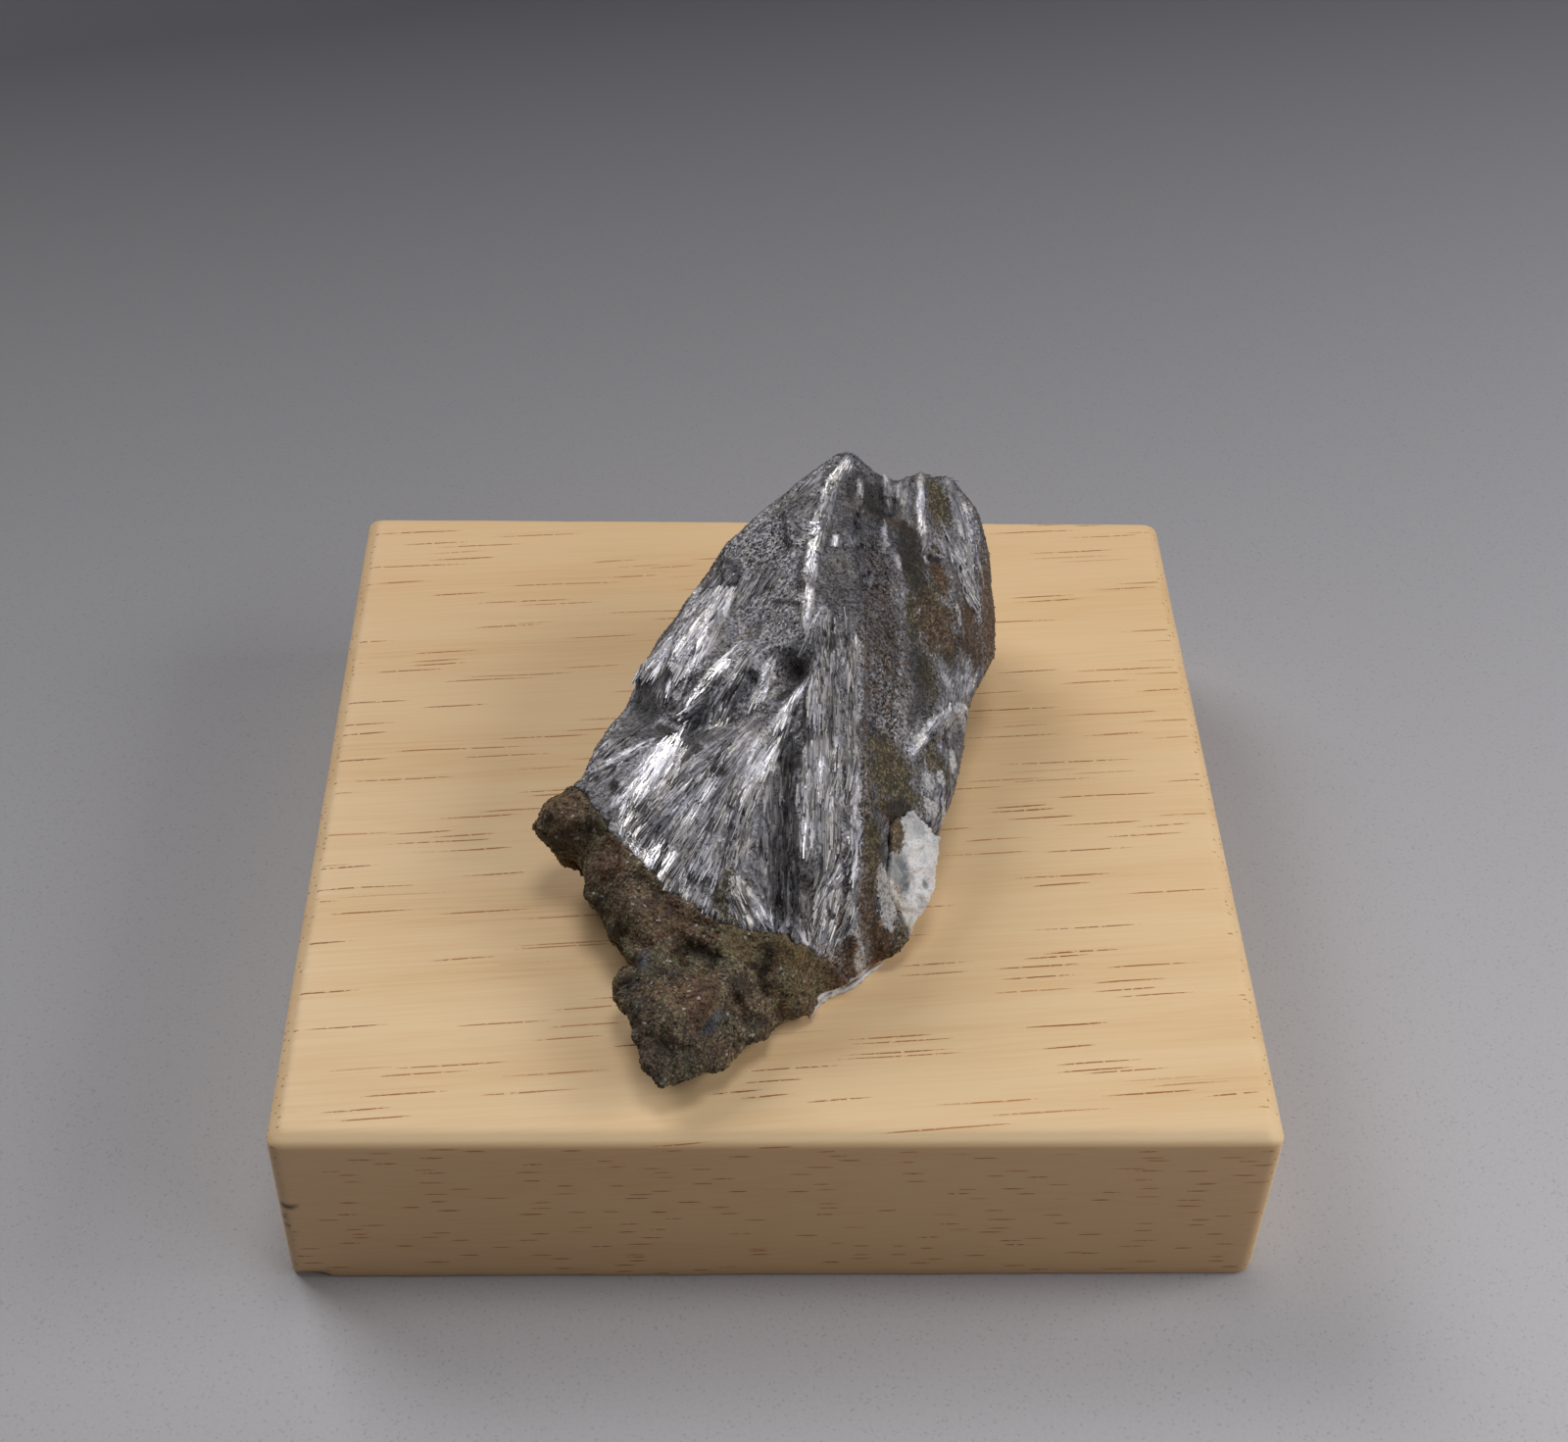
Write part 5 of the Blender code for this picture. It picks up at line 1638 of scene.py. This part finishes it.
@dataclass
class MatrixRock(StonePart):
    """The granular brown rock under and in front of the crystals."""

    node: str = "matrix_rock"
    slot: str = "matrix"
    voxel: float = 0.24
    swell: float = 0.12
    joint_swell: float = 0.2
    lump_height: float = 0.15
    grain_height: float = 0.09
    grit_height: float = 0.08
    pit_depth: float = 0.16
    crack_depth: float = 0.3
    patches: tuple[Patch, ...] = patches_of({
        Stain.OCHRE: (
            (-20.4, -12.6, 1.3, 0.8, 0.9), (-3.0, -28.2, 1.8, 1.3, 0.8),
            (0.9, -28.6, 1.8, 1.5, 0.8), (-12.3, -19.5, 1.1, 1.0, 0.5),
        ),
        Stain.RUST: (
            (-15.0, -19.0, 1.6, 1.4, 0.6), (-19.6, -13.4, 2.2, 1.8, 0.4),
            (-9.6, -25.6, 3.6, 1.8, 0.4, -30), (-7.0, -33.6, 2.2, 2.6, 0.6),
            (7.6, -26.0, 2.6, 1.6, 0.9, 20),
        ),
        Stain.SLATE: (
            (-12.1, -28.9, 0.8, 1.1), (-5.8, -35.6, 0.35, 1.6, 0.9, -40),
            (6.2, -26.2, 1.2, 0.6, 0.7, 10),
        ),
        # painted shade in crevices and on shadowed faces; the same patches also cut real cracks
        Stain.SEAMS_AND_PAINTED_SHADE: (
            (-12.7, -33.6, 0.9, 3.2, 0.85, 4), (-11.0, -29.9, 0.8, 1.3, 0.8),
            (-7.2, -28.1, 2.1, 0.5, 0.9, -32), (-3.5, -32.0, 1.3, 0.7, 0.85, 40),
            (-1.0, -29.6, 0.6, 1.4, 0.7, -30), (-2.2, -33.6, 3.4, 0.6, 0.8, 6),
            (-18.6, -15.9, 3.4, 0.6, 0.7, -12), (-21.2, -14.8, 0.7, 1.4, 0.6),
            (-10.2, -38.6, 2.2, 1.6, 0.8, 60), (-7.4, -37.8, 2.0, 1.2, 0.65, 40),
            (-17.6, -20.2, 1.4, 1.3, 0.6, -30), (-16.1, -22.8, 1.4, 2.1, 0.7, -30),
            (-14.5, -24.9, 1.1, 1.6, 0.6, -30), (-11.9, -37.2, 1.1, 2.4, 0.75, -12),
        ),
    })
    changes: tuple[Shift | Lump, ...] = (
        Shift((-19.5, -17.5, 24.5), 2.2, (1.5, 0.8, 0.0)),
        Lump((-19.1, -12.9, 28.2), (3.0, 2.8, 3.2)),
        Lump((-13.1, -30.0, 24.6), (1.5, 1.7, 2.6)),
        Shift((-18.6, -18.4, 25.0), 1.6, (0.7, 0.5, 0.0)),
        Shift((-19.2, -14.3, 22.6), 1.9, (1.1, 0.7, 0.0)),
        Lump((-6.4, -28.3, 26.0), (2.2, 1.4, 1.6)),
    )

    def dress(self, nodes: dict[str, bpy.types.Object]) -> list[bpy.types.Object]:
        """Builds the rock's skin and its loose grains.

        Args:
            nodes: the CAD nodes by name.

        Returns:
            The pieces; the first one stands for the CAD node.
        """
        skin, apart = self.skin("matrix_skin", nodes, 1.0)
        stains = self.stains(skin.points, Relief.cloud(skin.points, 1.2, 6, 3))
        lumps = Relief.facets(skin.points, 1.6, 31, 0.8)
        grains = Relief.facets(skin.points, 0.62, 33, 0.9)
        grit = Relief.cloud(skin.points, 0.55, 35, 2)
        calm = 1 - 0.8 * stains[Stain.SLATE]
        pits = smooth(0.4, 0.85, Relief.cloud(skin.points, 1.7, 37, 2))
        relief = self.lump_height * lumps + self.grain_height * grains + self.grit_height * grit
        height = calm * relief - self.pit_depth * pits
        height = self.swell + height - self.crack_depth * stains[Stain.SEAMS_AND_PAINTED_SHADE]
        height = height + self.joint_swell * self.joint(apart)
        skin.push(height * skin.clear_of(WOOD_TOP))
        skin.rest_on(WOOD_TOP)
        # painted shade in the hollows of the skin
        deep = smooth(0.04, 0.3, skin.hollows(10))
        runs = np.stack([Relief.cloud(skin.points, 0.8, seed) for seed in (51, 52, 53)], 1)
        skin.carry(
            **{kind.value: stains[kind] for kind in (Stain.RUST, Stain.OCHRE, Stain.SLATE)},
            gloom=np.maximum(stains[Stain.SEAMS_AND_PAINTED_SHADE] * 0.8, deep * 0.6),
            shade=0.5 + 0.5 * grit,
            facing=skin.normals,
            fibre=unit(runs, 1e-6),
            crowd=0.4 + 0.6 * smooth(-0.7, 0.0, skin.normals[:, 2]),
            **dict.fromkeys(("reach", "girth", "loose"), np.ones(len(skin.points))),
        )
        finish = RockFinish().material()
        strewn = Scatter("matrix_grains", Shape.CHIP, 10.0, 0.28, 0.24, 0.15, 30.0, 21)
        loose = strewn.over(skin, finish)
        return [skin.piece(finish), loose]


@dataclass
class QuartzVein(StonePart):
    """The milky vein on the right, with its red-brown foot."""

    node: str = "quartz_vein"
    slot: str = "quartz"
    voxel: float = 0.22
    swell: float = 0.06
    joint_swell: float = 0.16
    lip_width: float = 0.3
    lip_height: float = 0.28
    lip: tuple[tuple[float, float], ...] = (
        (3.0, -29.8), (3.7, -28.4), (4.4, -27.5), (5.4, -26.9), (6.7, -26.3),
        (7.7, -25.4), (8.4, -24.5), (9.3, -23.8), (10.1, -23.1),
    )
    patches: tuple[Patch, ...] = patches_of({
        Stain.GREY: (
            (11.3, -19.2, 1.3, 1.4, 0.9), (10.3, -19.0, 0.5, 0.6), (13.0, -14.6, 1.0, 0.8, 0.25),
            (13.9, -18.6, 0.3, 0.3, 0.8),
        ),
        Stain.WARM: ((10.9, -21.4, 1.7, 1.1, 0.8),),
        Stain.STAIN: ((11.2, -20.5, 0.9, 0.4, 0.6), (11.4, -21.6, 0.3, 0.7, 0.6)),
        Stain.RED: ((10.2, -24.2, 2.2, 1.4, 1.0, 20),),
        Stain.CRUST: ((10.7, -17.0, 0.9, 1.9, 0.75, -25),),
    })

    def dress(self, nodes: dict[str, bpy.types.Object]) -> list[bpy.types.Object]:
        """Builds the vein.

        Args:
            nodes: the CAD nodes by name.

        Returns:
            The piece that stands for the CAD node.
        """
        skin, apart = self.skin("quartz_skin", nodes, 1.0)
        edge = Relief.cloud(skin.points, 0.9, 7, 3)
        planes = Relief.facets(skin.points, 1.7, 61, 0.8)
        small = Relief.facets(skin.points, 0.7, 63, 0.8)
        crust = self.stains(skin.points, edge, [Stain.CRUST])[Stain.CRUST]
        height = 0.3 * planes + 0.1 * small + 0.06 * crust * Relief.cloud(skin.points, 0.5, 64, 2)
        skin.push(self.swell + height + self.joint_swell * self.joint(apart))
        skin.rest_on(WOOD_TOP)
        kinds = (Stain.GREY, Stain.WARM, Stain.RED, Stain.STAIN)
        stains = self.stains(skin.points, edge, kinds)
        skin.carry(crust=crust, **{kind.value: stains[kind] for kind in kinds})
        finish = QuartzFinish().material()
        return [skin.piece(finish), self._lip(finish)]

    def _lip(self, finish: bpy.types.Material) -> bpy.types.Object:
        """The thin pale lip of the vein that lies on the wood, as one closed strip."""
        corners = [Vector((x, y)) for x, y in self.lip]
        line = [corners[0]]
        for here, there in zip(corners, corners[1:]):
            line += [here.lerp(there, step / 4) for step in range(1, 5)]
        bm = bmesh.new()
        rings = []
        for k, spot in enumerate(line):
            run = (line[min(k + 2, len(line) - 1)] - line[max(k - 2, 0)]).normalized()
            out = Vector((run.y, -run.x))
            share = min(1.0, 0.2 + 4 * min(k, len(line) - 1 - k) / len(line))
            wide = self.lip_width * share * (0.85 + 0.3 * math.sin(k * 1.9))
            ring = []
            for across, height in ((1.0, 0.0), (0.85, 0.6), (0.3, 1.0), (-0.6, 1.0), (-1.0, 0.0)):
                place = spot + out * wide * across
                z = WOOD_TOP + self.lip_height * share * height
                ring.append(bm.verts.new((place.x * MM, place.y * MM, z * MM)))
            rings.append(ring)
        close_tube(bm, rings)
        bmesh.ops.recalc_face_normals(bm, faces=bm.faces)
        return linked("quartz_lip", mesh_of(bm, "quartz_lip", finish))


@dataclass
class PineBlock:
    """The planed pine block, with rounded top edges and a chipped lower corner."""

    node: str = "wood_block"
    slot: str = "pine"
    corner: float = 1.4
    corner_steps: int = 7
    side_steps: int = 110
    side_least: float = 10.0  # a gap this long is a side, not a step of a corner
    face_rings: int = 28
    bevel_drop: float = 0.9
    bevel_run: float = 1.5
    bevel_round: float = 0.2
    scars: tuple[tuple[float, float, float, float, float], ...] = (
        (0.4, 11.0, 1.6, 0.45, 0.95),
        (0.3, 9.3, 0.5, 0.3, 0.8),
        (0.5, 8.1, 0.5, 0.3, 0.7),
        (1.9, 0.1, 1.3, 0.5, 0.95),
    )

    def dress(self, nodes: dict[str, bpy.types.Object]) -> list[bpy.types.Object]:
        """Builds the block.

        Args:
            nodes: the CAD nodes by name; not used.

        Returns:
            The piece that stands for the CAD node.
        """
        low, high = (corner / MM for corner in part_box(self.node))
        bm = bmesh.new()
        rings = [self._ring(bm, low, high, inset, z) for inset, z in self._profile(low.z, high.z)]
        close_tube(bm, rings)
        self._wear(bm, low, high)
        mesh = mesh_of(bm, "pine_block", PineFinish().material())
        self._bruise(mesh, low, high)
        return [linked("pine_block", mesh)]

    def _profile(self, bottom: float, top: float) -> list[tuple[float, float]]:
        """Insets and heights of the rings: a flat eased bevel between two tight rounds."""
        rows = [(1.4, bottom), (0.35, bottom), (0.1, bottom + 0.1), (0.0, bottom + 0.35)]
        rows += [(0.0, bottom + 1.2)]
        drop, run, tight = self.bevel_drop, self.bevel_run, self.bevel_round
        low, high = bottom + 1.2, top - drop - 1.2
        count = self.face_rings
        rows += [(0.0, low + (high - low) * step / count) for step in range(1, count + 1)]
        rows += [(0.0, top - drop - tight), (0.06, top - drop)]
        rows += [(run * 0.3, top - drop * 0.62), (run * 0.6, top - drop * 0.26)]
        rows += [(run * 0.85, top - 0.05), (run + tight, top), (run + 1.6, top)]
        return rows

    def _ring(
        self, bm: bmesh.types.BMesh, low: Vector, high: Vector, inset: float, z: float
    ) -> list[bmesh.types.BMVert]:
        """One rounded square of points.

        Args:
            bm: the mesh in the making.
            low: the block's lowest corner.
            high: its highest corner.
            inset: how far the ring lies inside the block's outline.
            z: its height.

        Returns:
            The ring's points, anticlockwise.
        """
        radius = max(self.corner - 0.5 * inset, 0.3)
        half_x, half_y = ((side - 2 * inset - 2 * radius) / 2 for side in (high - low).xy)
        points: list[tuple[float, float]] = []
        for number, (sx, sy) in enumerate(((1, 1), (-1, 1), (-1, -1), (1, -1))):
            for step in range(self.corner_steps + 1):
                angle = math.pi / 2 * (number + step / self.corner_steps)
                out_x, out_y = radius * math.cos(angle), radius * math.sin(angle)
                points.append((sx * half_x + out_x, sy * half_y + out_y))
        filled: list[tuple[float, float]] = []
        for here, there in zip(points, points[1:] + points[:1]):
            filled.append(here)
            if math.dist(here, there) > self.side_least:
                for step in range(1, self.side_steps):
                    share = step / self.side_steps
                    filled.append(tuple(a + (b - a) * share for a, b in zip(here, there)))
        return [bm.verts.new((x * MM, y * MM, z * MM)) for x, y in filled]

    def _wear(self, bm: bmesh.types.BMesh, low: Vector, high: Vector) -> None:
        """Eases the edges unevenly and breaks a chip out of the lower front left corner."""
        points = np.array([v.co for v in bm.verts]) / MM
        wave = Relief.cloud(points, 6.0, 81, 2)
        nick = Relief.cloud(points, 0.8, 82, 2)
        middle = Vector((0.0, 0.0, (low.z + high.z) / 2))
        edge_xy = np.minimum(high.x - np.abs(points[:, 0]), high.y - np.abs(points[:, 1]))
        edge_z = np.minimum(points[:, 2] - low.z, high.z - points[:, 2])
        on_edge = smooth(1.9, 0.1, np.maximum(edge_xy, edge_z))
        pull = (0.06 * wave - 0.06 + 0.03 * nick) * on_edge
        chip = (
            smooth(1.5, 0.9, np.abs(points[:, 0] - low.x - 1.9))
            * smooth(0.6, 0.1, np.abs(points[:, 1] - low.y))
            * smooth(0.5, 0.3, points[:, 2] - low.z)
        )
        for vertex, amount, broken in zip(bm.verts, pull, chip):
            vertex.co += (vertex.co - middle * MM).normalized() * float(amount) * MM
            vertex.co += Vector((0.0, 0.5, 0.0)) * float(broken) * MM

    def _bruise(self, mesh: bpy.types.Mesh, low: Vector, high: Vector) -> None:
        """Stores where the front is marked: a knot scar with two small ones, and the chip."""
        points = np.empty(len(mesh.vertices) * 3, np.float32)
        mesh.vertices.foreach_get("co", points)
        points = points.reshape(-1, 3) / MM
        value = np.zeros(len(points))
        front = smooth(0.7, 0.2, points[:, 1] - low.y)
        for x, z, rx, rz, strength in self.scars:
            off = np.hypot((points[:, 0] - low.x - x) / rx, (points[:, 2] - low.z - z) / rz)
            value = np.maximum(value, smooth(1.2, 0.5, off) * front * strength)
        attribute = mesh.attributes.new("bruise", "FLOAT", "POINT")
        attribute.data.foreach_set("value", value.astype(np.float32))


@dataclass(frozen=True)
class Softbox:
    """A square area light aimed at the specimen: its place in metres, power and side."""

    name: str
    place: tuple[float, float, float]
    power: float
    size: float
    aim: float = 0.03  # the height that it points at

    def hang(self) -> None:
        """Puts the light in the scene."""
        data = bpy.data.lights.new(self.name, "AREA")
        data.energy, data.size = self.power, self.size
        made = linked(self.name, data)
        made.location = self.place
        aim = Vector(self.place) - Vector((0, 0, self.aim))
        made.rotation_euler = aim.to_track_quat("Z", "Y").to_euler()


@dataclass
class Studio:
    """The camera, the soft lights and the grey worktop."""

    lens: float = 54.947
    sensor: float = 36.0
    place: tuple[float, float, float] = (-6.178, -169.521, 189.087)
    tilt: float = 43.230
    turn: float = 2.4512
    roll: float = 1.8874
    softboxes: tuple[Softbox, ...] = (
        Softbox("softbox_back_left", (-0.50, 0.55, 0.73), 4.2, 0.50),
        Softbox("softbox_top", (0.05, 0.05, 1.00), 2.0, 0.30),
        Softbox("softbox_right", (0.40, 0.00, 0.28), 0.68, 0.20),
        Softbox("softbox_front_right", (0.33, -0.22, 0.30), 0.34, 0.20),
    )
    clip: tuple[float, float] = (0.01, 20.0)
    room: float = 0.05
    room_colour: Colour = srgb(228, 230, 236)
    worktop: tuple[tuple[float, float], ...] = ((-1.6, -1.2), (1.6, -1.2), (1.6, 2.4), (-1.6, 2.4))

    def camera(self) -> None:
        """Sets the camera."""
        yaw, pitch, roll = (math.radians(a) for a in (self.turn, self.tilt, self.roll))
        level = math.cos(pitch)
        forward = Vector((math.sin(yaw) * level, math.cos(yaw) * level, -math.sin(pitch)))
        right = forward.cross(Vector((0, 0, 1))).normalized()
        down = forward.cross(right)
        across = right * math.cos(roll) - down * math.sin(roll)
        below = right * math.sin(roll) + down * math.cos(roll)
        data = bpy.data.cameras.new("camera")
        data.lens, data.sensor_width = self.lens, self.sensor
        data.clip_start, data.clip_end = self.clip
        made = linked("camera", data)
        rows = [(across[k], -below[k], -forward[k], self.place[k] * MM) for k in range(3)]
        made.matrix_world = Matrix((*rows, (0, 0, 0, 1)))
        bpy.context.scene.camera = made

    def lights(self) -> None:
        """Sets the lights and the even light of the room."""
        for softbox in self.softboxes:
            softbox.hang()
        world = bpy.data.worlds.new("room")
        world.use_nodes = True
        graph = Graph(world.node_tree)
        sockets = {"Color": self.room_colour, "Strength": self.room}
        glow = graph.node("ShaderNodeBackground", None, sockets)
        graph.node("ShaderNodeOutputWorld", None, {"Surface": glow})
        bpy.context.scene.world = world
        bpy.context.scene.view_settings.view_transform = "Standard"

    def floor(self) -> None:
        """Lays the worktop."""
        bm = bmesh.new()
        bm.faces.new([bm.verts.new((x, y, 0.0)) for x, y in self.worktop])
        made = linked("worktop", mesh_of(bm, "worktop", FloorFinish().material()))


def main() -> None:
    """Loads the frame, dresses every node and sets the studio."""
    logging.basicConfig(level=logging.INFO, format="%(message)s")
    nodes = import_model()["nodes"]
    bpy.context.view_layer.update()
    studio = Studio()
    studio.camera()
    studio.lights()
    studio.floor()
    for part in (CrystalMass(), MatrixRock(), QuartzVein(), PineBlock()):
        pieces = part.dress(nodes)
        for number, piece in enumerate(pieces):
            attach(piece, BODY)
            if number == 0:
                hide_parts(part.node)
            LOG.info("%s: %d faces", piece.name, len(piece.data.polygons))


if __name__ == "__main__":
    main()
